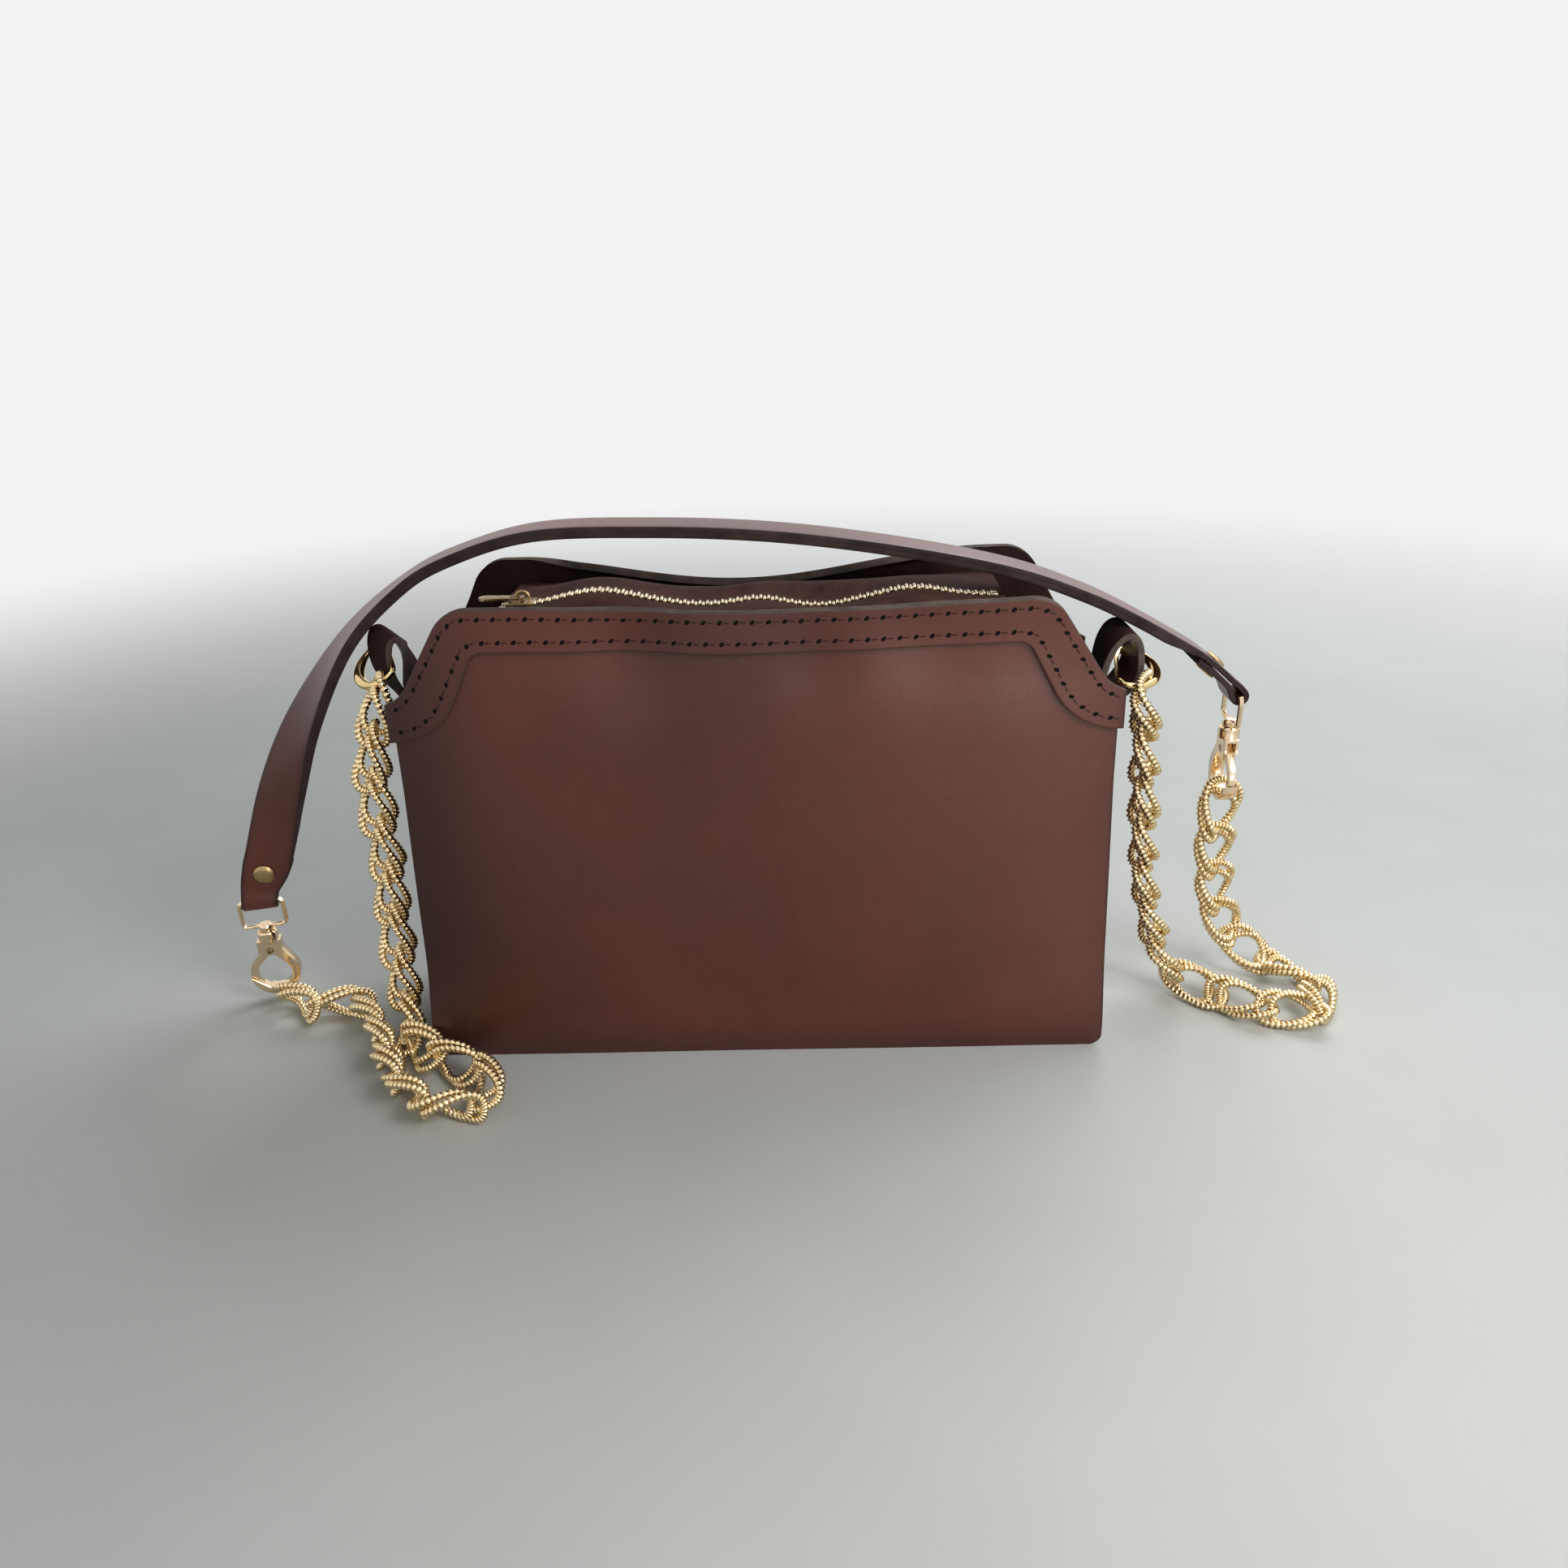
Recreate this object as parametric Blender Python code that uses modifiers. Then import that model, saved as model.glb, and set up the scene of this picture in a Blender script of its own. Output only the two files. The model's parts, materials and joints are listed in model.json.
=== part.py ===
"""Leather evening bag: stitched shell, zip, D-rings, short strap, snap hooks and two chains.

Metres, +Z up. The origin is the centre of the flat base, and -Y is the front.
"""
import math

import bmesh
import bpy
from mathutils import Matrix, Vector

# Leather shell
BASE_HALF_WIDTH = 0.1185
WAIST_NARROWING = 0.0025
WAIST_HEIGHT = 0.100
BAG_HEIGHT = 0.1615
SHOULDER_DROP = 0.0305
SHOULDER_RUN = 0.0017
TOP_INSET = 0.0290
TOP_CORNER_RADIUS = 0.0130
SCOOP_RADIUS = 0.0140
BASE_CORNER_RADIUS = 0.0045
BASE_HALF_DEPTH = 0.0310
FRONT_LEAN_IN = 0.0056
BACK_LEAN_OUT = 0.0020
BACK_DIP = 0.0110
LEATHER = 0.0022
CLEARANCE = 0.0003
SHOULDER_ANGLE = math.radians(22.0)
WAIST_HALF_WIDTH = BASE_HALF_WIDTH - WAIST_NARROWING
TOP_HALF_WIDTH = WAIST_HALF_WIDTH - TOP_INSET
SHOULDER_HEIGHT = BAG_HEIGHT - SHOULDER_DROP

# Stitched facing along the top edge of each panel
FACING_OVERHANG = 0.0018
FACING_DEPTH = 0.0135
FACING_END_DEPTH = 0.0127
FACING_END_RUN = 0.0025
FACING_CORNER_INSET = 0.0042
FACING_CORNER_RADIUS = 0.0060
FACING_SCOOP_RADIUS = 0.0240
FACING_LEATHER = 0.0018
FACING_LOWER_ANGLE = math.radians(3.0)
FACING_HALF_WIDTH = WAIST_HALF_WIDTH + FACING_OVERHANG

# Gussets and the loops at their top ends
GUSSET_INSET = 0.0014
GUSSET_NECK_DROP = 0.0385
LOOP_HALF_WIDTH = 0.0068
NECK_RISE_SHARES = (0.35, 0.70)
NECK_NARROWING_SHARES = (0.55, 0.90)
GUSSET_PLANE = WAIST_HALF_WIDTH - GUSSET_INSET
GUSSET_NECK_HEIGHT = BAG_HEIGHT - GUSSET_NECK_DROP

# D-rings
RING_BAR_HALF_LENGTH = 0.0105
RING_DEPTH = 0.0130
RING_WIRE_RADIUS = 0.0009
RING_CREST_RADIUS = 0.0021
RING_CORNER_SHARE = 0.94
RING_SIDE_SHARE = 0.30
RING_SWELL_SHARE = 0.45

# Zip
ZIP_END_INSET = 0.0070
ZIP_DROP = 0.0053
TAPE_THICKNESS = 0.0008
TAPE_DROP = 0.0080
TAPE_CLEARANCE = 0.0003
TOOTH_PITCH = 0.0025
TOOTH_WIDTH = 0.0010
TOOTH_REACH = 0.0011
TOOTH_HEIGHT = 0.0018
TOOTH_SPINE = 0.0012
STOP_LENGTH = 0.0022
SLIDER_LENGTH = 0.0085
SLIDER_HALF_WIDTH = 0.0040
SLIDER_PLATE = 0.0008
SLIDER_WEDGE_RADIUS = 0.0011
BRIDGE_HALF_LENGTH = 0.0022
BRIDGE_WIRE_RADIUS = 0.0005
PULL_LENGTH = 0.0145
PULL_HALF_WIDTH = 0.0026
PULL_THICKNESS = 0.0009
PULL_BAR_WIDTH = 0.0012
PULL_HOLE_LENGTH = 0.0036
ZIP_HALF_LENGTH = TOP_HALF_WIDTH - ZIP_END_INSET
ZIP_HEIGHT = BAG_HEIGHT - ZIP_DROP

# Strap
STRAP_HALF_WIDTH = 0.0083
STRAP_THICKNESS = 0.0036
STRAP_END_LAYER = 0.0019
STRAP_END_HALF_WIDTH = 0.0062
STRAP_NARROWING = 0.0170
STRAP_TUCK = 0.0215
STRAP_PINCH = 0.0070
STRAP_TAPER = 0.0120
RIVET_CAP_RADIUS = 0.0038
RIVET_CAP_HEIGHT = 0.0012
RIVET_POST_RADIUS = 0.0013
RIVET_SETBACK = 0.0135

# Snap hooks, measured down from the eye's top wire
EYE_HALF_WIDTH = 0.0077
EYE_DROP = 0.0105
EYE_CORNER_RADIUS = 0.0017
EYE_WIRE_RADIUS = 0.0009
EYE_COLLAR_RADIUS = 0.0026
EYE_COLLAR_HEIGHT = 0.0024
STEM_RADIUS = 0.0015
STEM_HEAD_RADIUS = 0.0024
STEM_HEAD_HEIGHT = 0.0011
RUNNING_CLEARANCE = 0.0003
HOOK_COLLAR_RADIUS = 0.0036
HOOK_COLLAR_HEIGHT = 0.0046
HOOK_COLLAR_FLOOR = 0.0022
HOOK_DEPTH = 0.0046
HOOK_NECK_HALF_WIDTH = 0.0043
HOOK_NECK_LENGTH = 0.0048
HOOK_HALF_WIDTH = 0.0090
HOOK_LENGTH = 0.0232
HOOK_WALL = 0.0028
HOOK_SHOULDER_ANGLE = math.radians(35.0)
GATE_ROOT_ANGLE = math.radians(6.0)
GATE_THICKNESS = 0.0022
GATE_WIDTH = 0.0026
GATE_PIN_RADIUS = 0.0010
GATE_PIN_DROP = 0.0042
GATE_TONGUE_RADIUS = 0.0020
GATE_END_OUTER_DROP = 0.0149
GATE_END_INNER_DROP = 0.0183
SPRING_THICKNESS = 0.0003
SPRING_LENGTH = 0.0030
SPRING_GAP = 0.0004

# Chains
CHAIN_TUBE_RADIUS = 0.0025
CHAIN_START_ALONG_SHARE = 0.86
CHAIN_START_OUT_SHARE = 0.62

# Colours
BROWN = (0.105, 0.042, 0.032)
DARK_BROWN = (0.050, 0.024, 0.020)
CHAMPAGNE = (0.76, 0.60, 0.36)
ANTIQUE = (0.60, 0.47, 0.28)

# Places of the two sides, as (out from the bag's side, back, up). The ring's bar and the loop are
# measured up from the gusset's neck, and all else from the floor. Each chain's route runs from its
# D-ring to its hook, and each half of the strap's route is listed from left to right.
LEFT = {
    "name": "left",
    "sign": -1,
    "bar": (0.0055, -0.0005, 0.0182),
    "bar_axis": Vector((-0.0085, 0.0180, 0.0060)),
    "crest": Vector((-0.0090, -0.0015, -0.0060)),
    "loop_axis": Vector((-0.0085, 0.0180, 0.0030)),
    "loop": [
        (0.0004, 0.0100), (0.0012, 0.0160), (0.0026, 0.0210), (0.0044, 0.0242), (0.0066, 0.0254),
        (0.0088, 0.0242), (0.0100, 0.0205), (0.0102, 0.0160), (0.0094, 0.0115), (0.0072, 0.0070),
        (0.0046, 0.0032), (0.0028, -0.0005), (0.0026, -0.0090),
    ],
    "hook": (0.0745, 0.0100, 0.0430),
    "hook_turn": math.radians(15.0),
    "chain": {
        "hanging": [
            (0.0095, -0.0110, 0.1230), (0.0135, -0.0110, 0.1080), (0.0150, -0.0105, 0.0900),
            (0.0150, -0.0105, 0.0700), (0.0160, -0.0110, 0.0500), (0.0165, -0.0120, 0.0300),
            (0.0160, -0.0140, 0.0150),
        ],
        "floor": [
            (0.0145, -0.0190, 0.0085), (0.0102, -0.0290, 0.0050), (0.0020, -0.0370, 0.0050),
            (-0.0080, -0.0430, 0.0050), (-0.0175, -0.0490, 0.0050), (-0.0225, -0.0560, 0.0050),
            (-0.0200, -0.0635, 0.0050), (-0.0125, -0.0665, 0.0050), (-0.0035, -0.0625, 0.0050),
            (0.0080, -0.0520, 0.0050),
        ],
        "hook_side": [
            (0.0170, -0.0370, 0.0050), (0.0260, -0.0210, 0.0050), (0.0340, -0.0105, 0.0050),
            (0.0420, -0.0060, 0.0050), (0.0500, -0.0070, 0.0050), (0.0580, -0.0055, 0.0050),
            (0.0645, -0.0005, 0.0050), (0.0676, 0.0055, 0.0062),
        ],
    },
    "strap": [
        (0.0745, 0.0100, 0.0430), (0.0726, 0.0100, 0.0500), (0.0668, 0.0100, 0.0620),
        (0.0570, 0.0100, 0.0875), (0.0432, 0.0095, 0.1150), (0.0222, 0.0088, 0.1440),
        (-0.0002, 0.0075, 0.1628), (-0.0193, 0.0062, 0.1724), (-0.0470, 0.0050, 0.1796),
        (-0.0840, 0.0050, 0.1799),
    ],
}
RIGHT = {
    "name": "right",
    "sign": 1,
    "bar": (0.0046, -0.0005, 0.0082),
    "bar_axis": Vector((0.0030, 0.0190, 0.0058)),
    "crest": Vector((0.0090, -0.0020, -0.0022)),
    "loop_axis": Vector((-0.0024, 0.0190, 0.0020)),
    "loop": [
        (0.0002, 0.0070), (0.0008, 0.0100), (0.0018, 0.0135), (0.0034, 0.0164), (0.0056, 0.0178),
        (0.0080, 0.0170), (0.0096, 0.0140), (0.0102, 0.0100), (0.0100, 0.0060), (0.0082, 0.0025),
        (0.0054, -0.0005), (0.0030, -0.0040), (0.0026, -0.0120),
    ],
    "hook": (0.0465, 0.0050, 0.1190),
    "hook_turn": math.radians(90.0),
    "chain": {
        "hanging": [
            (0.0135, -0.0075, 0.1140), (0.0150, -0.0060, 0.1000), (0.0170, -0.0040, 0.0820),
            (0.0190, -0.0020, 0.0640), (0.0220, 0.0000, 0.0460), (0.0265, 0.0010, 0.0290),
            (0.0330, 0.0010, 0.0150),
        ],
        "floor": [
            (0.0380, 0.0000, 0.0090), (0.0440, -0.0030, 0.0056), (0.0520, -0.0085, 0.0050),
            (0.0620, -0.0150, 0.0050), (0.0720, -0.0190, 0.0050), (0.0815, -0.0165, 0.0050),
            (0.0860, -0.0080, 0.0050), (0.0835, 0.0020, 0.0050), (0.0770, 0.0095, 0.0064),
        ],
        "hook_side": [
            (0.0690, 0.0130, 0.0105), (0.0610, 0.0140, 0.0180), (0.0545, 0.0125, 0.0290),
            (0.0505, 0.0100, 0.0420), (0.0480, 0.0080, 0.0560), (0.0465, 0.0055, 0.0670),
            (0.0465, 0.0051, 0.0760),
        ],
    },
    "strap": [
        (-0.1088, 0.0050, 0.1775), (-0.0695, 0.0050, 0.1719), (-0.0325, 0.0050, 0.1640),
        (-0.0080, 0.0050, 0.1552), (0.0115, 0.0050, 0.1455), (0.0312, 0.0050, 0.1335),
        (0.0425, 0.0050, 0.1240), (0.0465, 0.0050, 0.1190),
    ],
}
STRAP_TURN_SHARES = [1.167, 1.16, 1.12, 0.98, 0.74, 0.40, 0.16, 0.06, 0.0,
                     0.0, 0.0, 0.0, 0.0, 0.0, 0.0, 0.0, 0.0, 0.0]

# Working values
WELD = 0.000001
CUT_OVERRUN = 0.0010
PIVOT_SIZE = 0.0050
COLLECTIONS = {}


def clear_scene():
    for obj in list(bpy.data.objects):
        bpy.data.objects.remove(obj, do_unlink=True)


def make_material(name, colour, metallic, roughness):
    material = bpy.data.materials.new(name)
    material.use_nodes = True
    shader = material.node_tree.nodes["Principled BSDF"]
    shader.inputs["Base Color"].default_value = (*colour, 1.0)
    shader.inputs["Metallic"].default_value = metallic
    shader.inputs["Roughness"].default_value = roughness
    material.diffuse_color = (*colour, 1.0)
    return material


def new_object(name, data, material, collection="parts"):
    obj = bpy.data.objects.new(name, data)
    COLLECTIONS[collection].objects.link(obj)
    if material:
        data.materials.append(material)
    return obj


def from_bmesh(name, bm, material, collection="parts"):
    mesh = bpy.data.meshes.new(name)
    bm.to_mesh(mesh)
    bm.free()
    obj = new_object(name, mesh, material, collection)
    mesh.shade_smooth()
    mesh.set_sharp_from_angle(angle=math.radians(35.0))
    return obj


def sheet(name, rows, thickness, side, material):
    """Open surface through rows of points, given a thickness: side 1 adds it behind, 0 both ways."""
    bm = bmesh.new()
    verts = [[bm.verts.new(point) for point in row] for row in rows]
    for lower, upper in zip(verts, verts[1:]):
        for i in range(len(lower) - 1):
            bm.faces.new((lower[i], lower[i + 1], upper[i + 1], upper[i]))
    obj = from_bmesh(name, bm, material)
    solidify = obj.modifiers.new("thickness", "SOLIDIFY")
    solidify.thickness = thickness
    solidify.offset = -side
    solidify.use_even_offset = True
    return obj


def spaced(first, last, count):
    return [first + (last - first) * i / (count - 1) for i in range(count)]


def smooth_path(points, per_span, cyclic=False):
    """Points on a Catmull-Rom curve through the given ones."""
    pts = [Vector(p) for p in points]
    count = len(pts)
    out = []
    spans = count if cyclic else count - 1
    for i in range(spans):
        p1, p2 = pts[i], pts[(i + 1) % count]
        p0 = pts[i - 1] if (i or cyclic) else p1 * 2 - p2
        p3 = pts[(i + 2) % count] if (i + 2 < count or cyclic) else p2 * 2 - p1
        for step in range(per_span):
            t = step / per_span
            out.append(0.5 * (2 * p1 + (p2 - p0) * t + (2 * p0 - 5 * p1 + 4 * p2 - p3) * t * t
                              + (3 * p1 - p0 - 3 * p2 + p3) * t * t * t))
    if not cyclic:
        out.append(pts[-1])
    return out


def tube(name, points, radius, material, cyclic=False, radii=None, sides=2):
    curve = bpy.data.curves.new(name, "CURVE")
    curve.dimensions = "3D"
    curve.bevel_depth = radius
    curve.bevel_resolution = sides
    curve.use_fill_caps = not cyclic
    spline = curve.splines.new("POLY")
    spline.points.add(len(points) - 1)
    for i, point in enumerate(points):
        spline.points[i].co = (*point, 1.0)
        spline.points[i].radius = radii[i] if radii else 1.0
    spline.use_cyclic_u = cyclic
    return new_object(name, curve, material)


def flat(name, outlines, thickness, material):
    """Plate cut from closed (x, z) outlines, lying in the XZ plane and centred on y = 0."""
    curve = bpy.data.curves.new(name, "CURVE")
    curve.dimensions = "2D"
    curve.fill_mode = "BOTH"
    curve.extrude = thickness / 2
    for outline in outlines:
        spline = curve.splines.new("POLY")
        spline.points.add(len(outline) - 1)
        for i, (x, z) in enumerate(outline):
            spline.points[i].co = (x, z, 0.0, 1.0)
        spline.use_cyclic_u = True
    obj = new_object(name, curve, material)
    obj.rotation_euler = (math.radians(90.0), 0.0, 0.0)
    return obj


def as_mesh(obj):
    """The object as a welded mesh object, so that a Boolean can work on it."""
    bpy.context.view_layer.update()
    graph = bpy.context.evaluated_depsgraph_get()
    mesh = bpy.data.meshes.new_from_object(obj.evaluated_get(graph), depsgraph=graph)
    bm = bmesh.new()
    bm.from_mesh(mesh)
    bmesh.ops.remove_doubles(bm, verts=bm.verts, dist=WELD)
    bm.to_mesh(mesh)
    bm.free()
    name, matrix = obj.name, obj.matrix_world.copy()
    users = list(obj.users_collection)
    bpy.data.objects.remove(obj, do_unlink=True)
    made = bpy.data.objects.new(name, mesh)
    made.matrix_world = matrix
    for collection in users:
        collection.objects.link(made)
    return made


def rod(name, radius, low, high, material, sides=20, collection="parts"):
    """Upright cylinder between two heights, on the Z axis."""
    bm = bmesh.new()
    bmesh.ops.create_cone(bm, cap_ends=True, segments=sides, radius1=radius, radius2=radius,
                          depth=high - low)
    bmesh.ops.translate(bm, verts=bm.verts, vec=(0.0, 0.0, (high + low) / 2))
    return from_bmesh(name, bm, material, collection)


def block(name, size, centre, material, collection="parts"):
    bm = bmesh.new()
    bmesh.ops.create_cube(bm, size=1.0)
    bmesh.ops.scale(bm, verts=bm.verts, vec=size)
    bmesh.ops.translate(bm, verts=bm.verts, vec=centre)
    return from_bmesh(name, bm, material, collection)


def boolean(obj, other, operation):
    modifier = obj.modifiers.new(operation.lower(), "BOOLEAN")
    modifier.operation = operation
    modifier.solver = "EXACT"
    modifier.object = other
    for collection in list(other.users_collection):
        collection.objects.unlink(other)
    COLLECTIONS["cutters"].objects.link(other)
    other.hide_render = True
    other.display_type = "WIRE"


def cut(obj, other):
    boolean(obj, other, "DIFFERENCE")


def join(obj, other):
    boolean(obj, other, "UNION")


def pivot(name, location, rotation=(0.0, 0.0, 0.0), parent=None):
    """An empty on a joint's axis."""
    empty = bpy.data.objects.new(name, None)
    COLLECTIONS["parts"].objects.link(empty)
    empty.empty_display_size = PIVOT_SIZE
    empty.location = location
    empty.rotation_euler = rotation
    empty.parent = parent
    return empty


def arc(centre, radius, start, end, count):
    return [(centre[0] + radius * math.cos(a), centre[1] + radius * math.sin(a))
            for a in spaced(start, end, count)]


def top_edge(half, height, corner, scoop, end, slope, run):
    """Right half of a top edge as (x, z): level, round the corner, down to the scoop, out to its end.

    The way down is the line that touches both the corner's circle and the scoop's.
    """
    upper = (half, height - corner)
    lower = (end[0] - run * math.cos(slope) + scoop * math.sin(slope),
             end[1] + run * math.sin(slope) + scoop * math.cos(slope))
    across, fall = lower[0] - upper[0], upper[1] - lower[1]
    steep = math.atan2(fall, across) + math.asin((corner + scoop) / math.hypot(across, fall))
    points = arc(upper, corner, math.pi / 2, math.pi / 2 - steep, 6)
    points += arc(lower, scoop, -math.pi / 2 - steep, -math.pi / 2 - slope, 6)
    points.append(end)
    return points


def beside(side, point):
    """World place of a point given as (out from the bag's side, back, up)."""
    return Vector((side["sign"] * (WAIST_HALF_WIDTH + point[0]), point[1], point[2]))


def bar_place(side):
    return beside(side, side["bar"]) + Vector((0.0, 0.0, GUSSET_NECK_HEIGHT))


def half_width(z):
    """Half width of the bag at a height below the shoulder."""
    share = min(z / WAIST_HEIGHT, 1.0)
    return BASE_HALF_WIDTH + (WAIST_HALF_WIDTH - BASE_HALF_WIDTH) * share


def front_y(x, z):
    return -BASE_HALF_DEPTH + FRONT_LEAN_IN * z / BAG_HEIGHT


def back_y(x, z):
    share = 1 - min(abs(x) / TOP_HALF_WIDTH, 1.0) ** 2
    return BASE_HALF_DEPTH + BACK_LEAN_OUT * z / BAG_HEIGHT - BACK_DIP * share * (z / BAG_HEIGHT) ** 3


def panel_outline():
    """(x, z) from the top's corner down the right side to the base."""
    points = top_edge(TOP_HALF_WIDTH, BAG_HEIGHT, TOP_CORNER_RADIUS, SCOOP_RADIUS,
                      (WAIST_HALF_WIDTH, SHOULDER_HEIGHT), SHOULDER_ANGLE, SHOULDER_RUN)
    heights = spaced(SHOULDER_HEIGHT, BASE_CORNER_RADIUS, 9)[1:-1]
    points += [(half_width(z), z) for z in heights]
    centre = (half_width(BASE_CORNER_RADIUS) - BASE_CORNER_RADIUS, BASE_CORNER_RADIUS)
    return points + arc(centre, BASE_CORNER_RADIUS, 0.0, -math.pi / 2, 4)


def panel(name, surface, material, back):
    columns = spaced(-1.0, 1.0, 13)
    rows = []
    for width, z in reversed(panel_outline()):
        row = [(width * share, surface(width * share, z), z) for share in columns]
        rows.append(row[::-1] if back else row)
    return sheet(name, rows, LEATHER, 1, material)


def facing(name, surface, material, back):
    """Stitched band laid on a panel's outside, along its whole top edge."""
    lower_half = TOP_HALF_WIDTH - FACING_CORNER_INSET
    lower_height = BAG_HEIGHT - FACING_DEPTH
    outer = top_edge(TOP_HALF_WIDTH, BAG_HEIGHT, TOP_CORNER_RADIUS, SCOOP_RADIUS,
                     (FACING_HALF_WIDTH, SHOULDER_HEIGHT), SHOULDER_ANGLE, SHOULDER_RUN)
    inner = top_edge(lower_half, lower_height, FACING_CORNER_RADIUS, FACING_SCOOP_RADIUS,
                     (FACING_HALF_WIDTH, SHOULDER_HEIGHT - FACING_END_DEPTH), FACING_LOWER_ANGLE,
                     FACING_END_RUN)
    level = spaced(-1.0, 1.0, 11)
    pairs = [((-x, z), (-u, v)) for (x, z), (u, v) in zip(reversed(outer), reversed(inner))]
    pairs += [((TOP_HALF_WIDTH * s, BAG_HEIGHT), (lower_half * s, lower_height))
              for s in level[1:-1]]
    pairs += list(zip(outer, inner))
    lift = CLEARANCE + FACING_LEATHER
    away = lift if back else -lift
    rows = []
    for share in spaced(0.0, 1.0, 3):
        row = []
        for (x, z), (u, v) in pairs:
            px, pz = u + (x - u) * share, v + (z - v) * share
            row.append((px, surface(px, pz) + away, pz))
        rows.append(row[::-1] if back else row)
    return sheet(name, rows, FACING_LEATHER, 1, material)


def inner_front(z):
    return front_y(0.0, z) + LEATHER + CLEARANCE


def inner_back(x, z):
    return back_y(x, z) - LEATHER - CLEARANCE


def gusset(side, material):
    """Side piece of the shell, whose narrow top end stands up as a loop and is sewn down outside."""
    sign = side["sign"]
    stations = []
    foot = BASE_CORNER_RADIUS / 4
    outline = [p for p in panel_outline() if foot < p[1] <= GUSSET_NECK_HEIGHT]
    for width, z in [(outline[-1][0], 0.0)] + outline[::-1]:
        middle = (inner_front(z) + inner_back(width, z)) / 2
        half = (inner_back(width, z) - inner_front(z)) / 2
        stations.append((Vector((sign * (width - GUSSET_INSET), middle, z)), Vector((0, 1, 0)), half))
    axis = side["loop_axis"].normalized()
    loop = smooth_path([(out, 0.0, GUSSET_NECK_HEIGHT + up) for out, up in side["loop"]], 2)
    top_half = stations[-1][2]
    for rise, narrowing in zip(NECK_RISE_SHARES, NECK_NARROWING_SHARES):
        z = GUSSET_NECK_HEIGHT + (loop[0].z - GUSSET_NECK_HEIGHT) * rise
        half = top_half + (LOOP_HALF_WIDTH - top_half) * narrowing
        stations.append((Vector((sign * GUSSET_PLANE, 0.0, z)), Vector((0, 1, 0)), half))
    for i, point in enumerate(loop):
        rise = min(1.0, i / 6)
        settle = min(1.0, max(0.0, (len(loop) - 1 - i) / 6))
        turn = Vector((0, 1, 0)).lerp(axis, min(rise, settle)).normalized()
        centre = Vector((sign * (GUSSET_PLANE + point.x), 0.0, point.z))
        stations.append((centre, turn, LOOP_HALF_WIDTH))
    rows = []
    for centre, across, half in stations:
        row = [centre + across * (half * share) for share in spaced(-1.0, 1.0, 7)]
        rows.append(row if sign > 0 else row[::-1])
    return sheet(side["name"] + "_gusset", rows, LEATHER, 0, material)


def base_panel(material):
    low = BASE_CORNER_RADIUS
    half_x = half_width(0.0) - BASE_CORNER_RADIUS - GUSSET_INSET - LEATHER / 2 - CLEARANCE
    front, back = inner_front(LEATHER), inner_back(half_x, LEATHER)
    centre = (0.0, (front + back) / 2, LEATHER / 2)
    return block("base_panel", (2 * half_x, back - front, LEATHER), centre, material)


def d_ring(side, material):
    """D-shaped wire ring: a straight bar in the loop and a thick crest outside it."""
    along = side["bar_axis"].normalized()
    out = (side["crest"] - along * side["crest"].dot(along)).normalized()
    half, depth = RING_BAR_HALF_LENGTH, RING_DEPTH
    corner, side_depth = half * RING_CORNER_SHARE, depth * RING_SIDE_SHARE
    outline = [(-half / 2, 0.0), (0.0, 0.0), (half / 2, 0.0), (corner, 0.0), (half, side_depth)]
    outline += [(half * math.cos(a), side_depth + (depth - side_depth) * math.sin(a))
                for a in spaced(math.pi / 12, 11 * math.pi / 12, 11)]
    outline += [(-half, side_depth), (-corner, 0.0)]
    swell = RING_CREST_RADIUS / RING_WIRE_RADIUS - 1
    shares = [max(0.0, (v / depth - RING_SWELL_SHARE) / (1 - RING_SWELL_SHARE)) for u, v in outline]
    radii = [1 + swell * share ** 1.5 for share in shares]
    points = [along * u + out * v for u, v in outline]
    origin = pivot(side["name"] + "_ring_pivot", bar_place(side))
    ring = tube(side["name"] + "_d_ring", points, RING_WIRE_RADIUS, material, cyclic=True,
                radii=radii, sides=3)
    ring.parent = origin
    return ring


def strap_frames():
    """Points along the strap's middle with their tangents, width directions and travelled length."""
    route = [beside(side, point) for side in (LEFT, RIGHT) for point in side["strap"]]
    path = smooth_path(route, 4)
    turns = smooth_path([(share, 0.0, 0.0) for share in STRAP_TURN_SHARES], 4)
    frames, travelled = [], 0.0
    for i, point in enumerate(path):
        tangent = (path[min(i + 1, len(path) - 1)] - path[max(i - 1, 0)]).normalized()
        across = Vector((0, 1, 0))
        across = (across - tangent * across.dot(tangent)).normalized()
        across = Matrix.Rotation(turns[i].x * math.pi / 2, 3, tangent) @ across
        if i:
            travelled += (point - path[i - 1]).length
        frames.append((point, tangent, across, travelled))
    for end, side in ((0, LEFT), (-1, RIGHT)):
        point, tangent, across, travelled = frames[end]
        bar = Vector((math.cos(side["hook_turn"]), math.sin(side["hook_turn"]), 0))
        bar = bar if bar.dot(across) > 0 else -bar
        frames[end] = (point, (tangent - bar * tangent.dot(bar)).normalized(), bar, travelled)
    return frames


def fold_radius():
    return EYE_WIRE_RADIUS + CLEARANCE + STRAP_END_LAYER / 2


def layer_offset(distance):
    """How far a layer lies from the strap's middle, by its distance from the fold."""
    close = (STRAP_END_LAYER + CLEARANCE) / 2
    if distance < STRAP_PINCH:
        ease = 0.5 + 0.5 * math.cos(math.pi * distance / STRAP_PINCH)
        return close + (fold_radius() - close) * ease
    past = min(1.0, max(0.0, (distance - STRAP_TUCK - CLEARANCE) / STRAP_TAPER))
    return close * (1 - past)


def layer_thickness(distance):
    past = min(1.0, max(0.0, (distance - STRAP_TUCK - CLEARANCE) / STRAP_TAPER))
    return STRAP_END_LAYER + (STRAP_THICKNESS - STRAP_END_LAYER) * past


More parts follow.
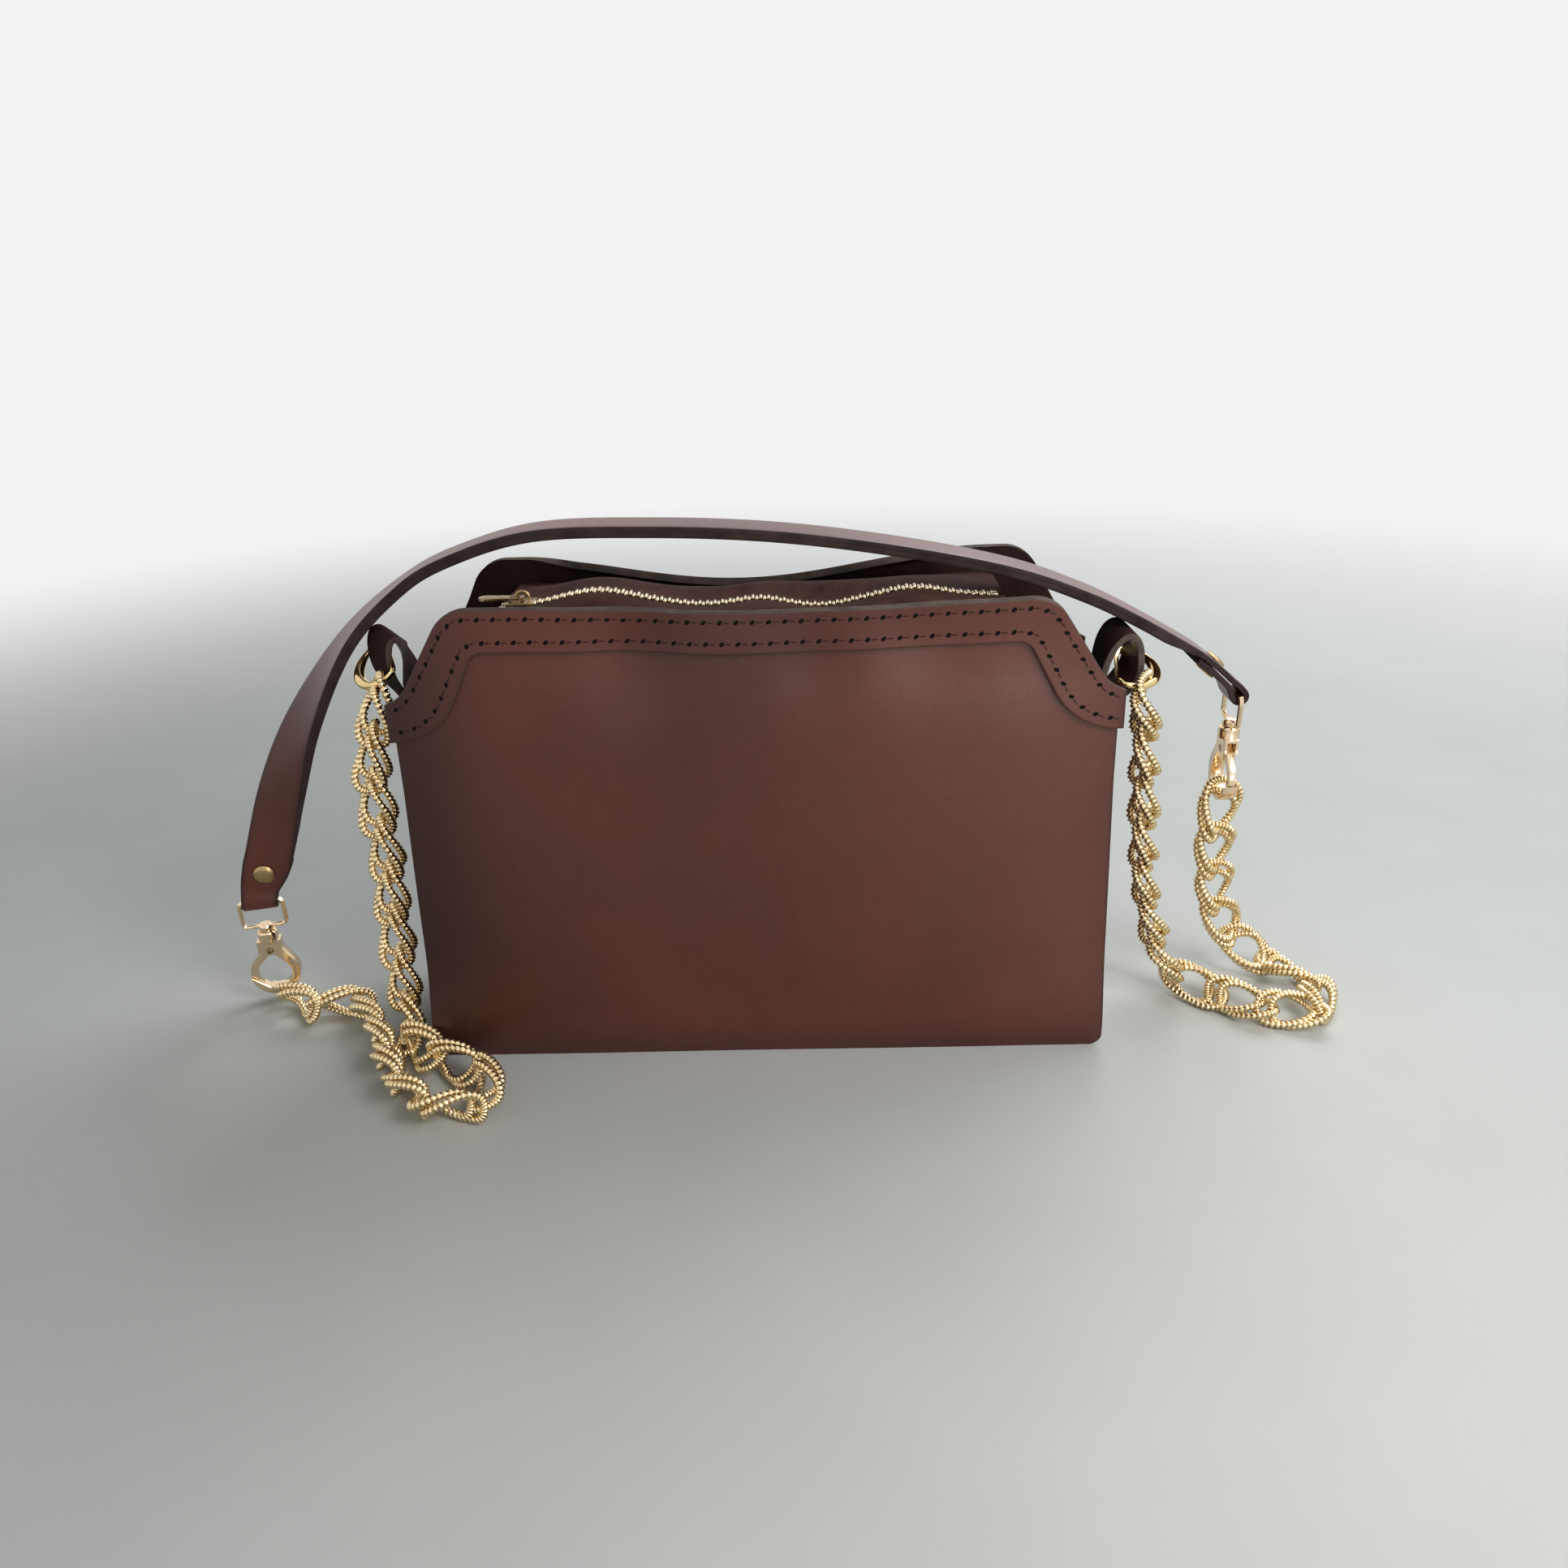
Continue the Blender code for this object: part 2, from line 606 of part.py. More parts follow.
def layer_half_width(distance):
    """Half width of the strap, which narrows towards its ends to pass through the eyes."""
    share = min(1.0, max(0.0, (distance - EYE_WIRE_RADIUS) / STRAP_NARROWING))
    ease = share * share * (3 - 2 * share)
    return STRAP_END_HALF_WIDTH + (STRAP_HALF_WIDTH - STRAP_END_HALF_WIDTH) * ease


def strap(material):
    """Thick strap whose thinned ends fold round the hooks' eyes and lie back under themselves."""
    frames = strap_frames()
    total = frames[-1][3]
    radius = fold_radius()
    sections = []

    def add(frame, offset, thickness):
        point, tangent, across, travelled = frame
        normal = tangent.cross(across)
        width = layer_half_width(min(travelled, total - travelled))
        sections.append((point + normal * offset, across * width, normal, thickness))

    def add_fold(frame, sign):
        point, tangent, across, _ = frame
        normal = tangent.cross(across)
        for angle in spaced(-math.pi / 2, math.pi / 2, 9):
            radial = normal * math.sin(angle * sign) + tangent * (math.cos(angle) * -sign)
            sections.append((point + radial * radius, across * STRAP_END_HALF_WIDTH, radial,
                             STRAP_END_LAYER))

    def near(frame, length):
        return min(frame[3], total - frame[3]) < length

    inside = [f for f in frames[1:-1] if not near(f, radius / 2)]
    middle = total / 2
    for frame in reversed([f for f in inside if f[3] < STRAP_TUCK]):
        add(frame, -layer_offset(frame[3]), STRAP_END_LAYER)
    add_fold(frames[0], 1)
    for frame in inside:
        distance = min(frame[3], total - frame[3])
        add(frame, layer_offset(distance), layer_thickness(distance))
    add_fold(frames[-1], -1)
    for frame in reversed([f for f in inside if f[3] > total - STRAP_TUCK and f[3] > middle]):
        add(frame, -layer_offset(total - frame[3]), STRAP_END_LAYER)

    bm = bmesh.new()
    rings = []
    flip_from = len([f for f in inside if f[3] < STRAP_TUCK])
    for i, (centre, across, normal, thickness) in enumerate(sections):
        out = -normal if i < flip_from or i >= len(sections) - len(
            [f for f in inside if f[3] > total - STRAP_TUCK]) else normal
        corners = [centre + across * u + out * (thickness / 2 * v)
                   for u, v in ((-1, -1), (1, -1), (1, 1), (-1, 1))]
        rings.append([bm.verts.new(corner) for corner in corners])
    for first, second in zip(rings, rings[1:]):
        for k in range(4):
            bm.faces.new((first[k], first[(k + 1) % 4], second[(k + 1) % 4], second[k]))
    bm.faces.new(rings[0][::-1])
    bm.faces.new(rings[-1])
    bmesh.ops.recalc_face_normals(bm, faces=bm.faces)
    return from_bmesh("strap", bm, material)


def strap_place(distance):
    """Frame of the strap at a distance from its left end, or from its right end if negative."""
    frames = strap_frames()
    target = distance if distance > 0 else frames[-1][3] + distance
    for first, second in zip(frames, frames[1:]):
        if second[3] >= target:
            share = (target - first[3]) / (second[3] - first[3])
            point = first[0].lerp(second[0], share)
            tangent = first[1].lerp(second[1], share).normalized()
            across = first[2].lerp(second[2], share)
            across = (across - tangent * across.dot(tangent)).normalized()
            return point, tangent, across
    return frames[-1][:3]


def turned(name, profile, material, steps=24, collection="parts"):
    """Solid of revolution about Z from (radius, z) points listed top to bottom."""
    mesh = bpy.data.meshes.new(name)
    edges = [(i, i + 1) for i in range(len(profile) - 1)]
    mesh.from_pydata([(r, 0.0, z) for r, z in profile], edges, [])
    obj = new_object(name, mesh, material, collection)
    screw = obj.modifiers.new("turn", "SCREW")
    screw.steps = steps
    screw.render_steps = steps
    screw.use_merge_vertices = True
    screw.merge_threshold = WELD
    return obj


def rivets(side, strap_obj, cap_material):
    """Cap and base pressed together through both layers of a strap end, each with half the shank."""
    distance = RIVET_SETBACK if side["sign"] < 0 else -RIVET_SETBACK
    point, tangent, across = strap_place(distance)
    normal = tangent.cross(across)
    axes = Matrix((across, normal.cross(across), normal)).transposed().to_4x4()
    place = Matrix.Translation(point) @ axes
    face = STRAP_END_LAYER + CLEARANCE / 2 + CLEARANCE
    half_gap = CLEARANCE / 2
    cap = [(0.0, face + RIVET_CAP_HEIGHT), (RIVET_CAP_RADIUS * 0.5, face + RIVET_CAP_HEIGHT * 0.9),
           (RIVET_CAP_RADIUS * 0.85, face + RIVET_CAP_HEIGHT * 0.6),
           (RIVET_CAP_RADIUS, face + RIVET_CAP_HEIGHT * 0.2), (RIVET_CAP_RADIUS, face),
           (RIVET_POST_RADIUS, face), (RIVET_POST_RADIUS, half_gap), (0.0, half_gap)]
    base = [(0.0, -half_gap), (RIVET_POST_RADIUS, -half_gap), (RIVET_POST_RADIUS, -face),
            (RIVET_CAP_RADIUS, -face), (RIVET_CAP_RADIUS, -face - RIVET_CAP_HEIGHT * 0.4),
            (RIVET_CAP_RADIUS * 0.8, -face - RIVET_CAP_HEIGHT * 0.6),
            (0.0, -face - RIVET_CAP_HEIGHT * 0.6)]
    for kind, profile in (("cap", cap), ("base", base)):
        piece = turned(side["name"] + "_rivet_" + kind, profile, cap_material)
        piece.matrix_world = place
    reach = face + CUT_OVERRUN
    drill = rod(side["name"] + "_rivet_hole", RIVET_POST_RADIUS + CLEARANCE, -reach, reach, None,
                16, "cutters")
    drill.matrix_world = place
    cut(strap_obj, drill)


def rounded_rectangle(half_x, low, high, radius, per_corner=4):
    corners = (((half_x - radius), high - radius, 0.0), (-(half_x - radius), high - radius, 0.5),
               (-(half_x - radius), low + radius, 1.0), ((half_x - radius), low + radius, 1.5))
    points = []
    for x, z, start in corners:
        points += arc((x, z), radius, start * math.pi, (start + 0.5) * math.pi, per_corner)
    return points


def hook_outline():
    """Outer and inner (x, z) outlines of a hook's body, from its top at z = 0 downwards."""
    centre = (0.0, -HOOK_LENGTH + HOOK_HALF_WIDTH)
    shoulder = HOOK_SHOULDER_ANGLE
    neck = HOOK_NECK_HALF_WIDTH
    outer = [(neck, 0.0), (neck, -HOOK_NECK_LENGTH * 0.8)]
    outer += arc(centre, HOOK_HALF_WIDTH, shoulder, -math.pi / 2, 9)
    outer += [(-x, z) for x, z in reversed(outer[:-1])]
    inner_radius = HOOK_HALF_WIDTH - HOOK_WALL
    top = -HOOK_NECK_LENGTH - GATE_WIDTH / 2
    inner = [(neck * 0.3, top)]
    inner += arc(centre, inner_radius, shoulder, -math.pi / 2, 9)
    inner += [(-x, z) for x, z in reversed(inner[:-1])]
    return outer, inner


def gate_ends():
    """Outer and inner corner (x, z) of the gate's end, whose slant lets it swing in past the nose."""
    centre = -HOOK_LENGTH + HOOK_HALF_WIDTH
    inner_radius = HOOK_HALF_WIDTH - GATE_WIDTH
    outer, inner = -GATE_END_OUTER_DROP, -GATE_END_INNER_DROP
    return ((-math.sqrt(HOOK_HALF_WIDTH ** 2 - (outer - centre) ** 2), outer),
            (-math.sqrt(inner_radius ** 2 - (inner - centre) ** 2), inner))


def snap_hook(side, metal, dark):
    """Swivelling snap hook: eye with its stem, body, sprung gate and the gate's pin."""
    name = side["name"] + "_hook"
    swing = pivot(name + "_swing_pivot", beside(side, side["hook"]), (0.0, 0.0, side["hook_turn"]))
    loop = [(x, 0.0, z) for x, z in
            rounded_rectangle(EYE_HALF_WIDTH, -EYE_DROP, 0.0, EYE_CORNER_RADIUS)]
    wire = tube(name + "_eye", loop, EYE_WIRE_RADIUS, metal, cyclic=True, sides=2)
    eye = as_mesh(wire)
    eye.parent = swing
    collar_top = -EYE_DROP + EYE_WIRE_RADIUS
    collar_low = collar_top - EYE_COLLAR_HEIGHT
    hook_top = collar_low - CLEARANCE
    head_top = hook_top - HOOK_COLLAR_FLOOR - CLEARANCE
    head_low = head_top - STEM_HEAD_HEIGHT
    stem = turned(name + "_stem", [
        (0.0, collar_top), (EYE_COLLAR_RADIUS * 0.8, collar_top),
        (EYE_COLLAR_RADIUS, collar_top - EYE_COLLAR_HEIGHT * 0.3), (EYE_COLLAR_RADIUS, collar_low),
        (STEM_RADIUS, collar_low), (STEM_RADIUS, head_top), (STEM_HEAD_RADIUS, head_top),
        (STEM_HEAD_RADIUS, head_low), (0.0, head_low)], None, 24, "cutters")
    stem.parent = swing
    join(eye, stem)

    swivel = pivot(name + "_swivel_pivot", (0.0, 0.0, 0.0), parent=swing)
    plate_top = hook_top - HOOK_COLLAR_HEIGHT + CUT_OVERRUN / 2
    outer, inner = hook_outline()
    body = as_mesh(flat(name + "_body", [outer, inner], HOOK_DEPTH, metal))
    body.parent = swivel
    body.location = (0.0, 0.0, plate_top)
    collar_end = hook_top - HOOK_COLLAR_HEIGHT
    collar = turned(name + "_collar", [
        (0.0, hook_top), (HOOK_COLLAR_RADIUS * 0.85, hook_top),
        (HOOK_COLLAR_RADIUS, hook_top - HOOK_COLLAR_HEIGHT * 0.15),
        (HOOK_COLLAR_RADIUS, collar_end + HOOK_COLLAR_HEIGHT * 0.1),
        (HOOK_COLLAR_RADIUS * 0.9, collar_end), (0.0, collar_end)], None, 24, "cutters")
    collar.parent = swivel
    join(body, collar)
    bore = turned(name + "_bore", [
        (0.0, hook_top + CUT_OVERRUN), (STEM_RADIUS + RUNNING_CLEARANCE, hook_top + CUT_OVERRUN),
        (STEM_RADIUS + RUNNING_CLEARANCE, hook_top - HOOK_COLLAR_FLOOR),
        (STEM_HEAD_RADIUS + RUNNING_CLEARANCE, hook_top - HOOK_COLLAR_FLOOR),
        (STEM_HEAD_RADIUS + RUNNING_CLEARANCE, head_low - CLEARANCE), (0.0, head_low - CLEARANCE)],
        None, 24, "cutters")
    bore.parent = swivel
    cut(body, bore)

    pin_z = plate_top - GATE_PIN_DROP
    slot_top = pin_z + GATE_TONGUE_RADIUS + 2 * SPRING_GAP + SPRING_THICKNESS
    slot_low = plate_top - HOOK_NECK_LENGTH - GATE_WIDTH * 1.6
    slot_left = -HOOK_HALF_WIDTH - CUT_OVERRUN
    slot_right = HOOK_NECK_HALF_WIDTH - (HOOK_NECK_HALF_WIDTH - GATE_TONGUE_RADIUS) / 2
    slot = block(name + "_slot",
                 (slot_right - slot_left, GATE_THICKNESS + 2 * CLEARANCE, slot_top - slot_low),
                 ((slot_right + slot_left) / 2, 0.0, (slot_top + slot_low) / 2), None, "cutters")
    slot.parent = swivel
    cut(body, slot)
    gate_outer, gate_inner = gate_ends()
    fall = (gate_outer[1] - gate_inner[1]) / (gate_inner[0] - gate_outer[0])
    lap = gate_outer[1] - RUNNING_CLEARANCE * math.hypot(1, fall)
    mouth_right = -GATE_WIDTH
    mouth = as_mesh(flat(name + "_mouth", [[
        (slot_left, -HOOK_NECK_LENGTH), (slot_left, lap - (slot_left - gate_outer[0]) * fall),
        (mouth_right, lap - (mouth_right - gate_outer[0]) * fall),
        (mouth_right, -HOOK_NECK_LENGTH)]], HOOK_DEPTH + 2 * CUT_OVERRUN, None))
    mouth.parent = swivel
    mouth.location = (0.0, 0.0, plate_top)
    cut(body, mouth)
    drill = rod(name + "_pin_hole", GATE_PIN_RADIUS + CLEARANCE, -HOOK_DEPTH, HOOK_DEPTH, None,
                16, "cutters")
    drill.parent = swivel
    drill.location = (0.0, 0.0, pin_z)
    drill.rotation_euler = (math.pi / 2, 0.0, 0.0)
    cut(body, drill)
    pin = rod(name + "_gate_pin", GATE_PIN_RADIUS, -HOOK_DEPTH / 2, HOOK_DEPTH / 2, dark, 16)
    pin.parent = swivel
    pin.location = (0.0, 0.0, pin_z)
    pin.rotation_euler = (math.pi / 2, 0.0, 0.0)

    hinge = pivot(name + "_gate_pivot", (0.0, 0.0, pin_z), parent=swivel)
    tongue = GATE_TONGUE_RADIUS
    ring_z = -HOOK_LENGTH + HOOK_HALF_WIDTH + GATE_PIN_DROP
    outer_radius = HOOK_HALF_WIDTH
    inner_radius = outer_radius - GATE_WIDTH
    start = math.pi - HOOK_SHOULDER_ANGLE
    outer_end = math.atan2(gate_outer[1] + GATE_PIN_DROP - ring_z, gate_outer[0]) % math.tau
    inner_end = math.atan2(gate_inner[1] + GATE_PIN_DROP - ring_z, gate_inner[0]) % math.tau
    gate_outline = arc((0.0, ring_z), outer_radius, start, outer_end, 6)
    gate_outline += arc((0.0, ring_z), inner_radius, inner_end, start + GATE_ROOT_ANGLE, 6)
    gate_outline += arc((0.0, 0.0), tongue, -math.pi * 0.6, math.pi * 0.7, 9)
    gate_hole = arc((0.0, 0.0), GATE_PIN_RADIUS + CLEARANCE, 0.0, math.pi * 15 / 8, 16)
    gate = flat(name + "_gate", [gate_outline, gate_hole], GATE_THICKNESS, metal)
    gate.parent = hinge

    spring_z = pin_z + tongue + SPRING_GAP + SPRING_THICKNESS / 2
    spring = block(name + "_gate_spring", (SPRING_LENGTH, GATE_THICKNESS * 0.8, SPRING_THICKNESS),
                   (0.0, 0.0, spring_z), dark)
    spring.parent = swivel


def chain(side, material):
    """Limp chain from the D-ring to the hook, as three stretches of one plain tube."""
    along = side["bar_axis"].normalized()
    out = (side["crest"] - along * side["crest"].dot(along)).normalized()
    corner = bar_place(side) - along * (RING_BAR_HALF_LENGTH * CHAIN_START_ALONG_SHARE)
    corner += out * (RING_DEPTH * CHAIN_START_OUT_SHARE)
    start = corner - Vector((0, 0, 1)) * (RING_CREST_RADIUS + CLEARANCE)
    names = ("hanging", "floor", "hook_side")
    route = [start]
    splits = []
    for name in names:
        route += [beside(side, point) for point in side["chain"][name]]
        splits.append(len(route) - 1)
    path = smooth_path(route, 2)
    first = 0
    for name, last in zip(names, splits):
        points = path[first:2 * last + 1]
        if first:
            along_cut = (path[first + 1] - path[first - 1]).normalized()
            points[0:1] = [points[0] + along_cut * (CLEARANCE / 2),
                           points[0] + along_cut * (CHAIN_TUBE_RADIUS / 2)]
        if name != names[-1]:
            along_cut = (path[2 * last + 1] - path[2 * last - 1]).normalized()
            points[-1:] = [points[-1] - along_cut * (CHAIN_TUBE_RADIUS / 2),
                           points[-1] - along_cut * (CLEARANCE / 2)]
        tube(side["name"] + "_chain_" + name, points, CHAIN_TUBE_RADIUS, material, sides=2)
        first = 2 * last


def zip_tape(name, front, material):
    """Tape from the teeth to a panel's inner face, with its outer edge turned down along it."""
    teeth_edge = TOOTH_REACH + CLEARANCE + TOOTH_SPINE + CLEARANCE
    half = ZIP_HALF_LENGTH + STOP_LENGTH
    rows = [[], [], []]
    for x in spaced(-half, half, 13):
        inset = TAPE_CLEARANCE + TAPE_THICKNESS / 2
        if front:
            face_top = inner_front(ZIP_HEIGHT) + inset
            face_low = inner_front(ZIP_HEIGHT - TAPE_DROP) + inset
            edge = -teeth_edge
        else:
            face_top = inner_back(x, ZIP_HEIGHT) - inset
            face_low = inner_back(x, ZIP_HEIGHT - TAPE_DROP) - inset
            edge = teeth_edge
        rows[0].append((x, face_low, ZIP_HEIGHT - TAPE_DROP))
        rows[1].append((x, face_top, ZIP_HEIGHT))
        rows[2].append((x, edge, ZIP_HEIGHT))
    if not front:
        rows.reverse()
    return sheet(name, rows, TAPE_THICKNESS, 0, material)


def teeth(name, sign, material):
    """One side's row of teeth on its cord, as a comb that starts at the zip's closed right end."""
    spine_inner = TOOTH_REACH + CLEARANCE
    spine_outer = spine_inner + TOOTH_SPINE
    start = -ZIP_HALF_LENGTH + STOP_LENGTH + CLEARANCE
    count = int((2 * ZIP_HALF_LENGTH - STOP_LENGTH - SLIDER_LENGTH / 2) / TOOTH_PITCH)
    offset = 0.0 if sign < 0 else TOOTH_PITCH / 2
    end = start + count * TOOTH_PITCH
    outline = [(start, sign * spine_outer), (start, sign * spine_inner)]
    for i in range(count):
        x = start + offset + i * TOOTH_PITCH + TOOTH_WIDTH / 2
        if x + TOOTH_WIDTH > end:
            break
        outline += [(x, sign * spine_inner), (x, -sign * TOOTH_REACH),
                    (x + TOOTH_WIDTH, -sign * TOOTH_REACH), (x + TOOTH_WIDTH, sign * spine_inner)]
    outline += [(end, sign * spine_inner), (end, sign * spine_outer)]
    comb = flat(name, [[(-x, y) for x, y in outline]], TOOTH_HEIGHT, material)
    comb.rotation_euler = (0.0, 0.0, 0.0)
    comb.location = (0.0, 0.0, ZIP_HEIGHT)
    return comb


def zip_slider(material):
    """Slider: two plates joined by a wedge, with a wire bridge that holds the pull."""
    centre = -ZIP_HALF_LENGTH + SLIDER_LENGTH / 2 + STOP_LENGTH / 2
    slide = pivot("zip_slider_pivot", (centre, 0.0, ZIP_HEIGHT))
    gap = TOOTH_HEIGHT / 2 + CLEARANCE
    size = (SLIDER_LENGTH, 2 * SLIDER_HALF_WIDTH, SLIDER_PLATE)
    top = block("zip_slider", size, (0.0, 0.0, gap + SLIDER_PLATE / 2), material)
    bottom = block("zip_slider_bottom", size, (0.0, 0.0, -gap - SLIDER_PLATE / 2), None, "cutters")
    wedge_x = -SLIDER_LENGTH / 2 + SLIDER_WEDGE_RADIUS * 1.2
    wedge = rod("zip_slider_wedge", SLIDER_WEDGE_RADIUS, -gap - SLIDER_PLATE / 2,
                gap + SLIDER_PLATE / 2, None, 16, "cutters")
    wedge.location = (wedge_x, 0.0, 0.0)
    bar_z = gap + SLIDER_PLATE + CLEARANCE + math.hypot(PULL_BAR_WIDTH, PULL_THICKNESS) / 2
    bridge_points = [(BRIDGE_HALF_LENGTH * math.cos(a), 0.0, bar_z + BRIDGE_HALF_LENGTH * math.sin(a))
                     for a in spaced(0.0, math.pi, 9)]
    foot = gap + SLIDER_PLATE / 2
    bridge_points = [(BRIDGE_HALF_LENGTH, 0.0, foot)] + bridge_points + [(-BRIDGE_HALF_LENGTH, 0.0, foot)]
    bridge = as_mesh(tube("zip_slider_bridge", bridge_points, BRIDGE_WIRE_RADIUS, None, sides=2))
    for piece in (top, bottom, wedge, bridge):
        piece.parent = slide
    join(top, bottom)
    join(top, wedge)
    join(top, bridge)
    flip = pivot("zip_pull_pivot", (0.0, 0.0, bar_z), parent=slide)
    bar_half = PULL_BAR_WIDTH / 2
    length = PULL_LENGTH
    outline = [(-bar_half, -PULL_HALF_WIDTH * 0.7), (length * 0.3, -PULL_HALF_WIDTH * 0.7)]
    outline += [(length - PULL_HALF_WIDTH, -PULL_HALF_WIDTH)]
    outline += arc((length - PULL_HALF_WIDTH, 0.0), PULL_HALF_WIDTH, -math.pi / 2, math.pi / 2, 7)[1:-1]
    outline += [(length - PULL_HALF_WIDTH, PULL_HALF_WIDTH), (length * 0.3, PULL_HALF_WIDTH * 0.7),
                (-bar_half, PULL_HALF_WIDTH * 0.7)]
    hole_y = PULL_HALF_WIDTH * 0.7 - PULL_BAR_WIDTH / 2
    hole = [(bar_half, -hole_y), (bar_half + PULL_HOLE_LENGTH, -hole_y),
            (bar_half + PULL_HOLE_LENGTH, hole_y), (bar_half, hole_y)]
    pull = flat("zip_pull", [[(-x, y) for x, y in shape] for shape in (outline, hole)],
                PULL_THICKNESS, material)
    pull.rotation_euler = (0.0, 0.0, 0.0)
    pull.parent = flip


def zip_stops(material):
    """Bottom stop across both tapes, and a top stop on each tape's edge."""
    half = ZIP_HALF_LENGTH
    height = TOOTH_HEIGHT
    inner = TOOTH_REACH + CLEARANCE
    block("zip_bottom_stop", (STOP_LENGTH, 2 * (inner + TOOTH_SPINE), height),
          (half - STOP_LENGTH / 2, 0.0, ZIP_HEIGHT), material)
    for name, sign in (("front", -1), ("back", 1)):
        block("zip_top_stop_" + name, (STOP_LENGTH, TOOTH_SPINE, height),
              (-half - STOP_LENGTH / 2, sign * (inner + TOOTH_SPINE / 2), ZIP_HEIGHT), material)


def build():
    clear_scene()
    for name in ("leather_evening_bag", "cutters"):
        collection = bpy.data.collections.new(name)
        bpy.context.scene.collection.children.link(collection)
    COLLECTIONS["parts"] = bpy.data.collections["leather_evening_bag"]
    COLLECTIONS["cutters"] = bpy.data.collections["cutters"]
    COLLECTIONS["cutters"].hide_render = True

    leather = make_material("brown_leather", BROWN, 0.0, 0.42)
    edge = make_material("dark_leather", DARK_BROWN, 0.0, 0.6)
    tape = make_material("zip_tape", DARK_BROWN, 0.0, 0.9)
    gold = make_material("pale_gold", CHAMPAGNE, 1.0, 0.2)
    brass = make_material("antique_brass", ANTIQUE, 1.0, 0.35)

    panel("front_panel", front_y, leather, False)
    panel("back_panel", back_y, leather, True)
    base_panel(leather)
    facing("front_facing", front_y, leather, False)
    facing("back_facing", back_y, leather, True)
    zip_tape("zip_tape_front", True, tape)
    zip_tape("zip_tape_back", False, tape)
    teeth("zip_teeth_front", -1, brass)
    teeth("zip_teeth_back", 1, brass)
    zip_stops(brass)
    zip_slider(brass)
    strap_obj = strap(leather)
    for side in (LEFT, RIGHT):
        gusset(side, edge)
        d_ring(side, gold)
        rivets(side, strap_obj, brass)
        snap_hook(side, gold, brass)
        chain(side, gold)


build()
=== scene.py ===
"""Leather evening bag with chains and a short strap, dressed over its solid model.

Metres, +Z up. The origin is the centre of the bag's flat base, and -Y is the front.
"""
import json
import math

import bpy
from mathutils import Matrix, Vector

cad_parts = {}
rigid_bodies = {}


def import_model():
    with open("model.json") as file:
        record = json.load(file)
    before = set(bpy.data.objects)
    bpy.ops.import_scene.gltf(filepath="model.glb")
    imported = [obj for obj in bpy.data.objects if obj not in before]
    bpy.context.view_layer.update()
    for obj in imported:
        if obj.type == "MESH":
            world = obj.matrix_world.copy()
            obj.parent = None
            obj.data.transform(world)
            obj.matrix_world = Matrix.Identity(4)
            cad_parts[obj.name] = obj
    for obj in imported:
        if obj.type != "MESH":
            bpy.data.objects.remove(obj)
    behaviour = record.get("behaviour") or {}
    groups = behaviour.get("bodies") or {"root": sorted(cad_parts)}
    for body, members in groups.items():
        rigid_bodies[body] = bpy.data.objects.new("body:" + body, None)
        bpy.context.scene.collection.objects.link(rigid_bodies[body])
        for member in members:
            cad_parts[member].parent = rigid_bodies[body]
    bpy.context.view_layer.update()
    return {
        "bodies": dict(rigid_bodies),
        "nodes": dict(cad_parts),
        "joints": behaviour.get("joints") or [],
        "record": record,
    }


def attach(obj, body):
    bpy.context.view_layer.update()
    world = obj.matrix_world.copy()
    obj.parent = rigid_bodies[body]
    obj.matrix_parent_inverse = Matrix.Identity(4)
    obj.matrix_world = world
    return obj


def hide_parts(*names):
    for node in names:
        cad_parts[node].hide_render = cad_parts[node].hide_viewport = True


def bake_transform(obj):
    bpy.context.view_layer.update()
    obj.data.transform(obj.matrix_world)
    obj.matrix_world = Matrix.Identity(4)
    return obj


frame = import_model()
bpy.ops.object.select_all(action="DESELECT")


# The camera stands in front of the bag, a little above its top and left of its right side.
# It looks down on the bag and leans very slightly to one side, as a telephone held by hand does.
CAMERA_PLACE = (0.0192, -0.3757, 0.2552)
CAMERA_DOWN = math.radians(23.65)
CAMERA_LEFT = math.radians(1.59)
CAMERA_ROLL = math.radians(-1.94)
CAMERA_LENS = 27.02

bpy.ops.object.camera_add()
camera = bpy.context.object
camera.matrix_world = (Matrix.Translation(CAMERA_PLACE) @ Matrix.Rotation(CAMERA_LEFT, 4, "Z")
                       @ Matrix.Rotation(math.pi / 2 - CAMERA_DOWN, 4, "X")
                       @ Matrix.Rotation(CAMERA_ROLL, 4, "Z"))
camera.data.lens = CAMERA_LENS
camera.data.sensor_width = 36.0
camera.data.clip_start = 0.01
bpy.context.scene.camera = camera
bpy.context.scene.view_settings.view_transform = "Standard"


# Two slack chains run from the rings at the bag's sides to the hooks on the strap. Each hangs
# down, lies on the table in a bend and comes up to its hook. They are pale gold plated wire with a
# twisted knurl. The oval links go in pairs, and each is bent a quarter turn from end to end.
LINK_LENGTH = 0.0220
LINK_WIDTH = 0.0142
LINK_WIRE = 0.00126
LINK_KNURL = 0.30
LINK_BEADS = 38
LINK_TWIST = math.radians(84.0)
PAIR_PITCH = 0.0173
PAIR_REACH = 0.0140
PAIR_SHIFT = 0.0024
PAIR_GAP = 0.0013
PAIR_WOBBLE = 0.10
LINK_WOBBLE = 0.05
LINK_FULLNESS = 0.05
TUBE_LIFT = 0.0006
LAST_REACH = 0.0070
STEP = 0.002
FLOOR_GAP = 0.0002
TOWARDS_VIEWER = Vector((0.2, -1.0, 0.15))
WHITE = (1.0, 1.0, 1.0)
PALE_GOLD = (1.0, 0.82, 0.49)
# Brown between the beads of the chain wire: partly tarnish, partly painted shade.
TARNISH_AND_SHADE = (0.42, 0.25, 0.10)

